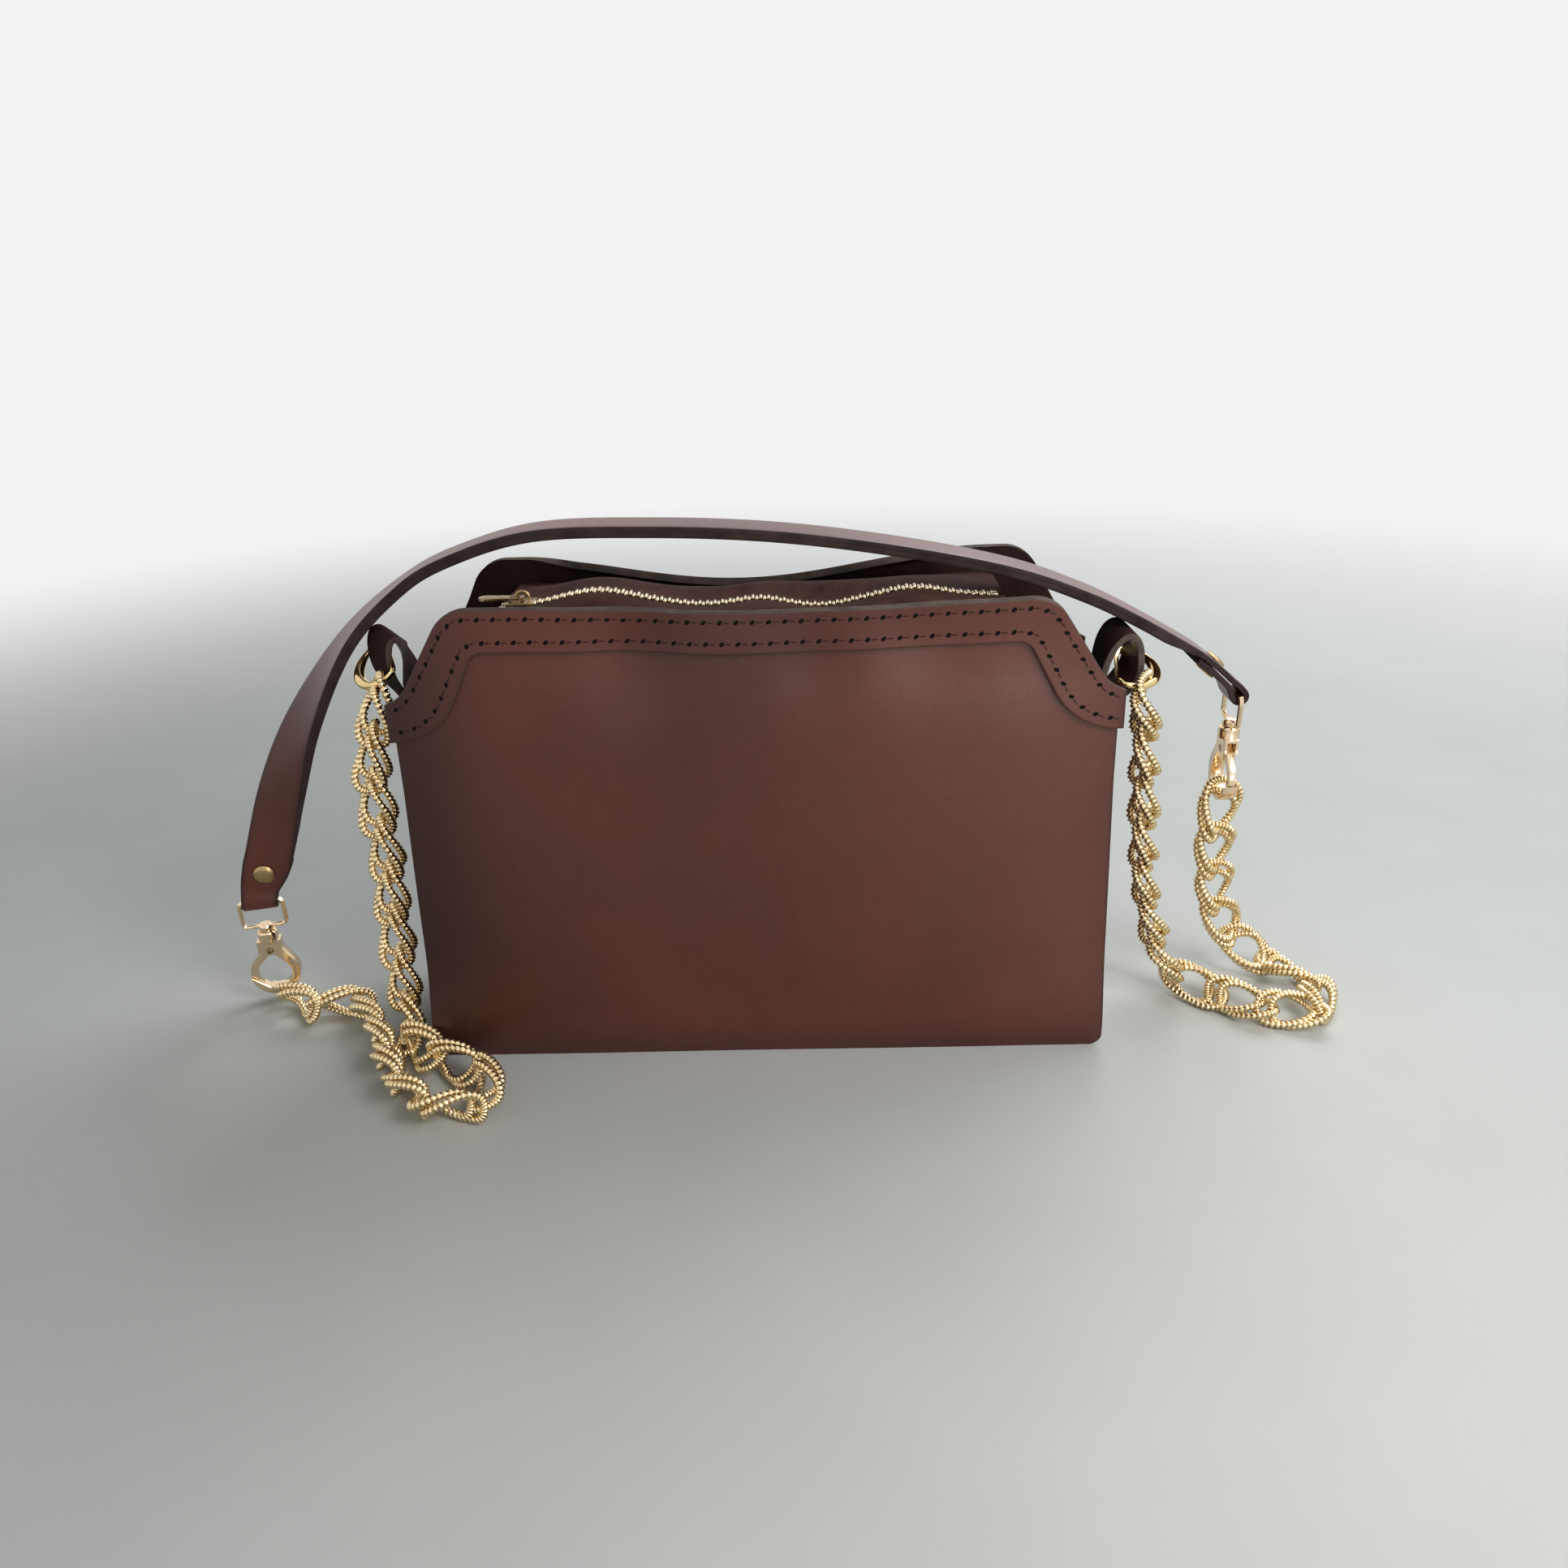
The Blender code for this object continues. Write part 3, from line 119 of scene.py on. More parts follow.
LEFT_CHAIN = {
    "hanging": [
        (-0.1243, -0.0098, 0.1316), (-0.1255, -0.0110, 0.1230), (-0.1295, -0.0110, 0.1080),
        (-0.1310, -0.0105, 0.0900), (-0.1310, -0.0105, 0.0700), (-0.1320, -0.0110, 0.0500),
        (-0.1325, -0.0120, 0.0300), (-0.1320, -0.0140, 0.0150)],
    "floor": [
        (-0.1305, -0.0190, 0.0085), (-0.1262, -0.0290, 0.0050), (-0.1180, -0.0370, 0.0050),
        (-0.1080, -0.0430, 0.0050), (-0.0985, -0.0490, 0.0050), (-0.0935, -0.0560, 0.0050),
        (-0.0960, -0.0635, 0.0050), (-0.1035, -0.0665, 0.0050), (-0.1125, -0.0625, 0.0050),
        (-0.1240, -0.0520, 0.0050)],
    "hook_side": [
        (-0.1330, -0.0370, 0.0050), (-0.1420, -0.0210, 0.0050), (-0.1500, -0.0105, 0.0050),
        (-0.1580, -0.0060, 0.0050), (-0.1660, -0.0070, 0.0050), (-0.1740, -0.0055, 0.0050),
        (-0.1805, -0.0005, 0.0050), (-0.1836, 0.0055, 0.0062)]}
RIGHT_CHAIN = {
    "hanging": [
        (0.1271, -0.0098, 0.1246), (0.1295, -0.0075, 0.1140), (0.1310, -0.0060, 0.1000),
        (0.1330, -0.0040, 0.0820), (0.1350, -0.0020, 0.0640), (0.1380, 0.0000, 0.0460),
        (0.1425, 0.0010, 0.0290), (0.1490, 0.0010, 0.0150)],
    "floor": [
        (0.1540, 0.0000, 0.0090), (0.1600, -0.0030, 0.0056), (0.1680, -0.0085, 0.0050),
        (0.1780, -0.0150, 0.0050), (0.1880, -0.0190, 0.0050), (0.1975, -0.0165, 0.0050),
        (0.2020, -0.0080, 0.0050), (0.1995, 0.0020, 0.0050), (0.1930, 0.0095, 0.0064)],
    "hook_side": [
        (0.1850, 0.0130, 0.0105), (0.1770, 0.0140, 0.0180), (0.1705, 0.0125, 0.0290),
        (0.1665, 0.0100, 0.0420),
        (0.1640, 0.0080, 0.0560), (0.1625, 0.0055, 0.0670), (0.1625, 0.0051, 0.0760)]}


def smooth_path(points, per_span):
    """Points on a smooth curve through the given ones."""
    pts = [Vector(p) for p in points]
    out = []
    for i in range(len(pts) - 1):
        p1, p2 = pts[i], pts[i + 1]
        p0 = pts[i - 1] if i else p1 * 2 - p2
        p3 = pts[i + 2] if i + 2 < len(pts) else p2 * 2 - p1
        for step in range(per_span):
            t = step / per_span
            out.append(0.5 * (2 * p1 + (p2 - p0) * t + (2 * p0 - 5 * p1 + 4 * p2 - p3) * t * t
                              + (3 * p1 - p0 - 3 * p2 + p3) * t * t * t))
    return out + [pts[-1]]


def put(tree, kind, inputs=(), **settings):
    """Adds a shader node, sets its properties, and sets or links its inputs."""
    node = tree.nodes.new(kind)
    for name, value in settings.items():
        setattr(node, name, value)
    for name, value in dict(inputs).items():
        if isinstance(value, bpy.types.NodeSocket):
            tree.links.new(value, node.inputs[name])
        else:
            node.inputs[name].default_value = value
    return node


def new_material(name, **values):
    """A material with its shader's sockets set, its node tree, that shader and its own places."""
    material = bpy.data.materials.new(name)
    material.use_nodes = True
    tree = material.node_tree
    shader = tree.nodes["Principled BSDF"]
    for socket, value in values.items():
        shader.inputs[socket.replace("_", " ")].default_value = value
    return material, tree, shader, put(tree, "ShaderNodeTexCoord").outputs["Object"]


def feed(tree, shader, colour, **sources):
    """Links a colour and other sources to the shader's sockets."""
    tree.links.new(colour, shader.inputs["Base Color"])
    for socket, source in sources.items():
        tree.links.new(source, shader.inputs[socket])


def noise(tree, place, scale, detail, **more):
    return put(tree, "ShaderNodeTexNoise",
               {"Vector": place, "Scale": scale, "Detail": detail, **more}).outputs["Fac"]


def bump(tree, height, strength, depth, **more):
    return put(tree, "ShaderNodeBump", {"Height": height, "Strength": strength, "Distance": depth,
                                        **more}).outputs["Normal"]


def math_node(tree, operation, *values, **settings):
    return put(tree, "ShaderNodeMath", dict(enumerate(values)), operation=operation,
               **settings).outputs["Value"]


def mixed_colour(tree, share, **colours):
    return put(tree, "ShaderNodeMix", {"Factor": share, **colours},
               data_type="RGBA").outputs["Result"]


def tones(tree, factor, colour, *stops):
    """One colour made darker or lighter over the factor: each stop is a place and a strength."""
    node = put(tree, "ShaderNodeValToRGB", {"Fac": factor})
    for element, (place, strength) in zip(node.color_ramp.elements, stops):
        element.position = place
        element.color = (*(c * strength for c in colour), 1.0)
    return node.outputs["Color"]


def only(obj):
    """Selects one object alone and makes it the active one."""
    bpy.ops.object.select_all(action="DESELECT")
    bpy.context.view_layer.objects.active = obj
    obj.select_set(True)


def own_copy(pattern, matrix):
    """A copy with a mesh of its own, put in its place."""
    copy = pattern.copy()
    copy.data = pattern.data.copy()
    bpy.context.collection.objects.link(copy)
    copy.data.transform(matrix)
    return copy


def joined(pieces, name):
    only(pieces[0])
    for piece in pieces:
        piece.select_set(True)
    bpy.ops.object.join()
    pieces[0].name = name
    return pieces[0]


def turned_to(along, across, up):
    """The turn that brings X, Y and Z to three directions."""
    return Matrix((along, across, up)).transposed().to_4x4()


def gold_plate(name, colour, roughness):
    """Plated metal: mirror bright, with a faint uneven polish and clouds of darker tarnish."""
    material, tree, shader, place = new_material(name, Metallic=1.0)
    cloud = noise(tree, place, 90.0, 3.0)
    fine = noise(tree, place, 900.0, 2.0)
    feed(tree, shader, tones(tree, cloud, colour, (0.3, 0.82), (0.62, 1.0)),
         Roughness=tones(tree, fine, WHITE, (0.3, roughness * 0.7), (0.7, roughness * 1.35)),
         Normal=bump(tree, cloud, 0.12, 0.0004))
    return material


def knurled_gold():
    """Pale gold plate, bright on the wire's beads, brown between them: tarnish and painted shade.
    """
    material = gold_plate("bright pale gold", PALE_GOLD, 0.15)
    tree = material.node_tree
    shader = tree.nodes["Principled BSDF"]
    plate = shader.inputs["Base Color"].links[0].from_socket
    crest = put(tree, "ShaderNodeAttribute", attribute_name="crest").outputs["Fac"]
    clean_and_lit = tones(tree, crest, WHITE, (0.12, 0.0), (0.62, 1.0))
    feed(tree, shader, mixed_colour(tree, clean_and_lit, A=(*TARNISH_AND_SHADE, 1.0), B=plate))
    return material


def chain_link():
    """One oval link of knurled wire along X, with its far end lying in the XY plane."""
    bpy.ops.mesh.primitive_torus_add(major_radius=LINK_WIDTH / 2, minor_radius=LINK_WIRE,
                                     major_segments=LINK_BEADS * 4, minor_segments=8)
    link = bpy.context.object
    crest = link.data.attributes.new("crest", "FLOAT", "POINT")
    reach = LINK_LENGTH / 2 - LINK_WIRE
    breadth = LINK_WIDTH / 2 - LINK_WIRE
    for vert in link.data.vertices:
        x, y, z = vert.co
        turn = math.atan2(y, x)
        around = math.atan2(z, math.hypot(x, y) - LINK_WIDTH / 2)
        bead = math.cos(turn * LINK_BEADS + around)
        crest.data[vert.index].value = 0.5 + 0.5 * bead
        knurl = 1 + LINK_KNURL * bead
        fullness = 1 + LINK_FULLNESS * (1 - math.cos(4 * turn))
        normal = Vector((math.cos(turn) * breadth, math.sin(turn) * reach, 0.0)).normalized()
        middle = Vector((math.cos(turn) * reach, math.sin(turn) * breadth, 0.0)) * fullness
        outward = normal * math.cos(around) + Vector((0, 0, math.sin(around)))
        place = middle + outward * (LINK_WIRE * knurl)
        vert.co = Matrix.Rotation(LINK_TWIST * (0.5 - place.x / (2 * reach)), 3, "X") @ place
    link.data.shade_smooth()
    link.data.materials.append(bright_gold)
    return link


def stations(route, first, pitch):
    """Places, directions and distances along a route, a pitch apart, and its whole length."""
    points = smooth_path(route, 12)
    found, travelled, wanted = [], 0.0, first
    for a, b in zip(points, points[1:]):
        step = (b - a).length
        while wanted <= travelled + step:
            found.append((a.lerp(b, (wanted - travelled) / step), (b - a).normalized(), wanted))
            wanted += pitch
        travelled += step
    return found, travelled


def hang_chain(side, routes, first, rolls):
    """Links for the whole chain, joined into one piece for each of its three stretches."""
    hanging, floor, hook_side = routes.values()
    route = hanging + floor + hook_side
    lengths = {"hanging": stations(hanging, 0, 1)[1], "floor": stations(hanging + floor, 0, 1)[1],
               "hook_side": math.inf}
    groups = {stretch: [] for stretch in routes}
    spans = {stretch: [] for stretch in routes}
    pattern = chain_link()
    for i, (place, along, distance) in enumerate(stations(route, first, PAIR_PITCH)[0]):
        stretch = next(name for name, length in lengths.items() if distance < length)
        spans[stretch] += [distance - PAIR_REACH, distance + PAIR_REACH]
        level = Vector((0, 0, 1)).lerp(TOWARDS_VIEWER, min(1.0, abs(along.z) * 1.6))
        normal = (level - along * level.dot(along)).normalized()
        roll = rolls[stretch] + PAIR_WOBBLE * math.sin(i * 2.3)
        normal = Matrix.Rotation(roll, 3, along) @ normal
        across = normal.cross(along)
        for member in (-1, 1):
            tilt = Matrix.Rotation(LINK_WOBBLE * math.sin(i * 3.1 + member), 3, across)
            shift = along * (PAIR_SHIFT * member) + (normal - across) * (PAIR_GAP * member / 2)
            link = own_copy(pattern, Matrix.Translation(place + shift)
                            @ turned_to(tilt @ along, across, tilt @ normal))
            lowest = min(v.co.z for v in link.data.vertices)
            if lowest < FLOOR_GAP:
                link.data.transform(Matrix.Translation((0, 0, FLOOR_GAP - lowest)))
            groups[stretch].append(link)
    bpy.data.objects.remove(pattern)
    made = {stretch: joined(links, f"{side}_chain_links_{stretch}")
            for stretch, links in groups.items()}
    end, before = Vector(route[-1]), Vector(route[-2])
    beyond = tuple(end + (end - before).normalized() * LAST_REACH)
    rise = Vector((0, 0, TUBE_LIFT))
    steps = stations(route + [beyond], 0.0, STEP)[0]
    paths = {stretch: [tuple(place + rise) for place, _, distance in steps
                       if min(span) <= distance <= max(span)] for stretch, span in spans.items()}
    return made, paths


def declare_chain(side, made, paths):
    """Hides the solids that the three stretches replace, and attaches the floor stretch to the
    shell.
    """
    for name, piece in made.items():
        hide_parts(f"{side}_chain_{name}")
    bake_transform(made["hanging"])
    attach(made["floor"], "shell")
    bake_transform(made["hook_side"])


bright_gold = knurled_gold()
for side, routes, first, rolls in (
        ("left", LEFT_CHAIN, 0.0065, {"hanging": 0.0, "floor": 0.3, "hook_side": 0.6}),
        ("right", RIGHT_CHAIN, 0.0060, {"hanging": 1.1, "floor": -0.2, "hook_side": -0.7})):
    declare_chain(side, *hang_chain(side, routes, first, rolls))


# The bag stands on a plain pale floor under soft daylight from the right and behind, with weaker
# light from the front. Far off, the floor turns into the pale background that the gold mirrors.
FLOOR_COLOUR = (0.62, 0.63, 0.60)
BACKGROUND = (0.90, 0.90, 0.90)
DAYLIGHT = (0.72, 0.76, 0.78)
FADE_START = 0.40
FADE_END = 1.10


def seen_directly(tree):
    """One for rays from the camera, from a mirror or through glass, and zero for soft light."""
    rays = put(tree, "ShaderNodeLightPath").outputs
    mirrored = math_node(tree, "ADD", rays["Is Glossy Ray"], rays["Is Transmission Ray"])
    return math_node(tree, "ADD", rays["Is Camera Ray"], mirrored, use_clamp=True)


def mixed_light(tree, share, first, second):
    return put(tree, "ShaderNodeMixShader", {"Fac": share, 1: first.outputs[0],
                                             2: second.outputs[0]}).outputs["Shader"]


def lamp(place, target, size, power, colour):
    bpy.ops.object.light_add(type="AREA", location=place)
    light = bpy.context.object
    light.rotation_euler = (Vector(target) - Vector(place)).to_track_quat("-Z", "Y").to_euler()
    light.data.shape = "RECTANGLE"
    light.data.size, light.data.size_y = size
    light.data.energy = power
    light.data.color = colour


lamp((0.50, 0.55, 0.80), (0.0, 0.0, 0.08), (0.9, 0.7), 7.0, (0.93, 0.97, 1.0))
lamp((0.38, -0.36, 0.46), (0.02, 0.0, 0.10), (0.32, 0.28), 2.1, (1.0, 0.98, 0.97))
lamp((0.40, -0.82, 0.18), (0.02, 0.0, 0.10), (0.30, 0.25), 1.1, (1.0, 0.98, 0.97))
lamp((-0.85, -0.70, 0.50), (0.0, 0.0, 0.08), (0.6, 0.8), 0.3, (1.0, 0.97, 0.93))

world = bpy.context.scene.world or bpy.data.worlds.new("even daylight")
bpy.context.scene.world = world
world.use_nodes = True
sky = world.node_tree
sky.nodes.clear()
around = put(sky, "ShaderNodeBackground", {"Color": (*DAYLIGHT, 1.0), "Strength": 0.25})
seen = put(sky, "ShaderNodeBackground", {"Color": (*BACKGROUND, 1.0), "Strength": 1.0})
both = mixed_light(sky, seen_directly(sky), around, seen)
put(sky, "ShaderNodeOutputWorld", {"Surface": both})

bpy.ops.mesh.primitive_plane_add(size=6.0)
floor = bpy.context.object
floor.name = "floor"
cloth, tree, shader, place = new_material("plain floor", Roughness=0.9)
mottle = tones(tree, noise(tree, place, 14.0, 4.0), FLOOR_COLOUR, (0.30, 0.95), (0.70, 1.0))
feed(tree, shader, mottle, Normal=bump(tree, noise(tree, place, 1400.0, 2.0), 0.25, 0.0003))
distance = put(tree, "ShaderNodeVectorMath", {0: place}, operation="LENGTH").outputs["Value"]
fade = put(tree, "ShaderNodeMapRange", {"Value": distance, "From Min": FADE_START,
                                        "From Max": FADE_END}, interpolation_type="SMOOTHSTEP")
share = math_node(tree, "MULTIPLY", fade.outputs["Result"], seen_directly(tree))
glow = put(tree, "ShaderNodeEmission", {"Color": (*BACKGROUND, 1.0), "Strength": 1.0})
tree.links.new(mixed_light(tree, share, shader, glow),
               tree.nodes["Material Output"].inputs["Surface"])
floor.data.materials.append(cloth)


# The bag's shell is smooth vegetable leather about 2 mm thick, cut and sewn by hand: a front and a
# back panel, each with a facing of the same leather sewn along its shaped top edge, a base and two
# gussets. Handling has dented the front softly, and the back sags in towards the zip.
BASE_HALF_WIDTH = 0.1185
WAIST_HALF_WIDTH = 0.1160
WAIST_HEIGHT = 0.100
BAG_HEIGHT = 0.1615
TOP_HALF_WIDTH = 0.0870
SHOULDER_HEIGHT = 0.1310
BASE_HALF_DEPTH = 0.0310
LEATHER = 0.0022
FACING_LEATHER = 0.0018
SEAM_GAP = 0.00008
PANEL_EDGE = {"corner": 0.0130, "scoop": 0.0140, "slope": math.radians(22.0), "run": 0.0017}
FACING_EDGE = {"corner": 0.0060, "scoop": 0.0240, "slope": math.radians(3.0), "run": 0.0025}
FACING_END_HALF = 0.1176
LOWER_EDGE = (0.0828, 0.1480)
LOWER_EDGE_END = 0.1183
FOOT_CORNER = 0.0045
FRONT_LEAN = 0.0056
FRONT_DIP = (0.0022, 0.020, 0.075)
# Each dent or swelling has its place across and up, its reach across and up, and its depth.
FRONT_DENTS = [
    (-0.037, 0.148, 0.017, 0.019, 0.0043), (-0.018, 0.128, 0.018, 0.030, -0.0014),
    (0.020, 0.146, 0.012, 0.016, 0.0016), (0.058, 0.150, 0.024, 0.018, 0.0030),
    (0.092, 0.144, 0.015, 0.018, 0.0014), (-0.070, 0.060, 0.050, 0.045, -0.0022),
    (0.050, 0.060, 0.055, 0.045, -0.0016), (-0.004, 0.080, 0.030, 0.050, 0.0008)]
SIDE_TURN = (0.0052, 0.0024)
FOOT_ROLL = 0.0020
FOOT_HEIGHT = 0.0140
FOOT_EASE = 0.0400
BACK_LEAN = 0.0020
PUSHED_IN = 0.0110
PUSHED_HALF = 0.0800
CURL_DEPTH = 0.0036
CURL_REACH = 0.0032
BACK_DIP = (0.0025, -0.005, 0.078)
BACK_RISE = 0.0060
BACK_RISE_END = 0.118
# Painted shade towards the left side, the right side and the foot: how dark, and how far in.
LEFT_PAINTED_SHADE = (0.90, 0.031)
RIGHT_PAINTED_SHADE = (0.40, 0.007)
FOOT_PAINTED_SHADE = (0.62, 0.011)
RIM_FALL = 1.6
TAN = (0.134, 0.038, 0.026)
DEEP_TAN = (0.085, 0.025, 0.018)
RAW_EDGE = (0.100, 0.076, 0.063)
FLESH = (0.030, 0.014, 0.012)


def leather_group():
    """Smooth leather: clouded dye, a fine pore grain, creases and scuffs, and its polish."""
    tree = bpy.data.node_groups.new("smooth leather", "ShaderNodeTree")
    for name, kind, side in (("Vector", "Vector", "INPUT"), ("Tone", "Color", "INPUT"),
                             ("Deep", "Color", "INPUT"), ("Color", "Color", "OUTPUT"),
                             ("Roughness", "Float", "OUTPUT"), ("Normal", "Vector", "OUTPUT")):
        tree.interface.new_socket(name=name, in_out=side, socket_type="NodeSocket" + kind)
    inside = put(tree, "NodeGroupInput").outputs
    place = inside["Vector"]
    cloud = noise(tree, place, 9.0, 4.0, Roughness=0.45, Distortion=0.3)
    clouds = math_node(tree, "MULTIPLY_ADD", noise(tree, place, 160.0, 4.0), 0.12, cloud)
    share = put(tree, "ShaderNodeMapRange", {"Value": clouds, "From Min": 0.38, "From Max": 0.68})
    pores = put(tree, "ShaderNodeTexVoronoi", {"Vector": place, "Scale": 1500.0},
                feature="DISTANCE_TO_EDGE").outputs["Distance"]
    crease = noise(tree, place, 700.0, 5.0, Roughness=0.65)
    fine = bump(tree, math_node(tree, "MULTIPLY_ADD", pores, 0.6, crease), 0.17, 0.0002)
    polish = put(tree, "ShaderNodeMapRange", {"Value": cloud, "To Min": 0.23, "To Max": 0.30})
    put(tree, "NodeGroupOutput", {
        "Color": mixed_colour(tree, share.outputs["Result"], A=inside["Deep"], B=inside["Tone"]),
        "Roughness": math_node(tree, "MULTIPLY_ADD", crease, 0.13, polish.outputs["Result"]),
        "Normal": bump(tree, noise(tree, place, 38.0, 2.0), 0.20, 0.0010, Normal=fine)})
    return tree


def leather_material(name, tone, deep):
    """Finished leather, darkened along its cut edges as burnish and as painted shade in the crevice
    there, and with painted shade towards the bag's sides and foot.
    """
    material, tree, shader, place = new_material(name, Specular_IOR_Level=0.42)
    look = put(tree, "ShaderNodeGroup", {"Vector": place, "Tone": (*tone, 1.0),
                                         "Deep": (*deep, 1.0)}, node_tree=leather_look).outputs
    rim = put(tree, "ShaderNodeAttribute", attribute_name="rim").outputs["Fac"]
    burnished_and_shaded = mixed_colour(tree, math_node(tree, "POWER", rim, RIM_FALL), A=look["Color"],
                        B=(*(c * 0.4 for c in deep), 1.0))
    feed(tree, shader, burnished_and_shaded, Roughness=look["Roughness"], Normal=look["Normal"])
    return material


def fibre_material(name, colour, scale, strength):
    """Cut or unfinished leather: matte, fibrous and uneven."""
    material, tree, shader, place = new_material(name, Roughness=0.85, Specular_IOR_Level=0.12)
    fibre = noise(tree, place, scale, 5.0, Roughness=0.7)
    both = math_node(tree, "MULTIPLY_ADD", fibre, 0.5, noise(tree, place, scale / 12, 2.0))
    feed(tree, shader, tones(tree, both, colour, (0.45, 0.55), (1.0, 1.5)),
         Normal=bump(tree, fibre, strength, 0.0003))
    return material


def spaced(first, last, count):
    return [first + (last - first) * i / (count - 1) for i in range(count)]


def eased(share):
    return share * share * (3 - 2 * share)


def arc(centre, radius, start, end, count):
    return [(centre[0] + radius * math.cos(a), centre[1] + radius * math.sin(a))
            for a in spaced(start, end, count)]


def top_edge(half, height, end, corner, scoop, slope, run):
    """Right half of a top edge as (x, z): round the corner, down to the scoop, out to its end."""
    upper = (half, height - corner)
    lower = (end[0] - run * math.cos(slope) + scoop * math.sin(slope),
             end[1] + run * math.sin(slope) + scoop * math.cos(slope))
    across, fall = lower[0] - upper[0], upper[1] - lower[1]
    steep = math.atan2(fall, across) + math.asin((corner + scoop) / math.hypot(across, fall))
    round_corner = arc(upper, corner, math.pi / 2, math.pi / 2 - steep, 12)
    through_scoop = arc(lower, scoop, -math.pi / 2 - steep, -math.pi / 2 - slope, 12)
    (x, z), (u, v) = round_corner[-1], through_scoop[0]
    return round_corner + [((x + u) / 2, (z + v) / 2)] + through_scoop + [end]


def half_width(z):
    share = min(z / WAIST_HEIGHT, 1.0)
    return BASE_HALF_WIDTH + (WAIST_HALF_WIDTH - BASE_HALF_WIDTH) * share


def front_surface(x, z):
    """Outer face of the front panel at a pattern place, with its dents and its dipping top edge."""
    share = z / BAG_HEIGHT
    turned = SIDE_TURN[x > 0] * (abs(x) / BASE_HALF_WIDTH) ** 5 * eased(min(1.0, z / FOOT_EASE))
    rolled = FOOT_ROLL * max(0.0, 1 - z / FOOT_HEIGHT) ** 2
    y = -BASE_HALF_DEPTH + FRONT_LEAN * share + turned + rolled
    for cx, cz, wx, wz, depth in FRONT_DENTS:
        y += depth * math.exp(-((x - cx) / wx) ** 2 - ((z - cz) / wz) ** 2)
    dip, middle, half = FRONT_DIP
    return Vector((x, y, z - dip * max(-0.36, 1 - ((x - middle) / half) ** 2) * share ** 3))


def back_surface(x, z):
    """Outer face of the back panel, which is pushed in at the middle of its top edge."""
    share = z / BAG_HEIGHT
    inward = max(0.0, 1 - (x / PUSHED_HALF) ** 2) ** 2
    curl = max(0.0, 1 - (BAG_HEIGHT - z) / CURL_DEPTH) ** 2 * min(1.0, inward * 6)
    y = BASE_HALF_DEPTH + BACK_LEAN * share - PUSHED_IN * inward * share ** 3 - CURL_REACH * curl
    dip, middle, half = BACK_DIP
    ease = 0.5 - 0.5 * math.cos(math.pi * min(1.0, abs(x - middle) / half))
    lift = (BACK_RISE * ease - dip) * share ** 4
    return Vector((x, y, z + lift * min(1.0, max(0.0, (BACK_RISE_END - abs(x)) / 0.02))))


def round_edges(obj, width, angle):
    """Bevels the edges that turn by more than an angle in degrees."""
    edge = obj.modifiers.new("rounded edges", "BEVEL")
    edge.width = width
    edge.segments = 2
    edge.limit_method = "ANGLE"
    edge.angle_limit = math.radians(angle)
    bpy.ops.object.modifier_apply(modifier=edge.name)


def grid(name, rows):
    """A mesh through rows of points, with an attribute for the darkened rim: burnish and painted
    shade.
    """
    bpy.ops.object.select_all(action="DESELECT")
    bpy.ops.mesh.primitive_grid_add(x_subdivisions=len(rows[0]) - 1, y_subdivisions=len(rows) - 1)
    obj = bpy.context.object
    obj.name = name
    for vert, point in zip(obj.data.vertices, (point for row in rows for point in row)):
        vert.co = point
    return obj, obj.data.attributes.new("rim", "FLOAT", "POINT").data


def sheet(name, rows, thickness, materials, offset=-1.0, rounding=0.00035):
    """Leather through rows of points, which go left to right and bottom to top seen from outside.

    Its materials are those of the outer, inner and cut faces.
    """
    obj, rim = grid(name, rows)
    last_column, last_row = len(rows[0]) - 1, len(rows) - 1
    # The outermost rows get a dark rim: partly burnish, partly painted shade in the crevice along
    # the edge.
    for i, point in enumerate(rim):
        row, column = divmod(i, last_column + 1)
        point.value = float(column in (0, last_column) or row in (0, last_row))
    for material in materials:
        obj.data.materials.append(material)
    thick = obj.modifiers.new("thickness", "SOLIDIFY")
    thick.thickness = thickness
    thick.offset = offset
    thick.use_even_offset = True
    thick.material_offset = 1
    thick.material_offset_rim = 2
    bpy.ops.object.modifier_apply(modifier="thickness")
    round_edges(obj, rounding, 50)
    bpy.ops.object.shade_smooth_by_angle(angle=math.radians(35))
    for vert in obj.data.vertices:
        vert.co.z = max(vert.co.z, 0.0)
    return obj


def dress(piece, node, body):
    """The piece takes the place of a solid and its body."""
    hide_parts(node)
    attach(piece, body)


def paint_shade_at_sides_and_foot(obj):
    """Painted shade: darker towards the bag's sides and foot, most at the left side, turned from
    the light.
    """
    for vert, rim in zip(obj.data.vertices, obj.data.attributes["rim"].data):
        x, _, z = vert.co
        for (amount, reach), away in ((LEFT_PAINTED_SHADE, half_width(z) + x),
                                      (RIGHT_PAINTED_SHADE, half_width(z) - x), (FOOT_PAINTED_SHADE, z)):
            rim.value = max(rim.value, amount * math.exp(-(max(away, 0.0) / reach) ** 2.2))


def with_margins(count, margin):
    """Shares from -1 to 1, with one close to each end for the darkened edge."""
    return [-1.0, -1 + margin] + spaced(-1 + 2 * margin, 1 - 2 * margin, count) + [1 - margin, 1.0]


def leather_layer(name, node, rows, thickness, back, **settings):
    """One of the outer layers of the bag, with painted shade towards its sides and foot."""
    rows = [row[::-1] for row in rows] if back else rows
    obj = sheet(name, rows, thickness, [tan_leather, flesh_side, raw_edge], **settings)
    paint_shade_at_sides_and_foot(obj)
    dress(obj, node, "shell")


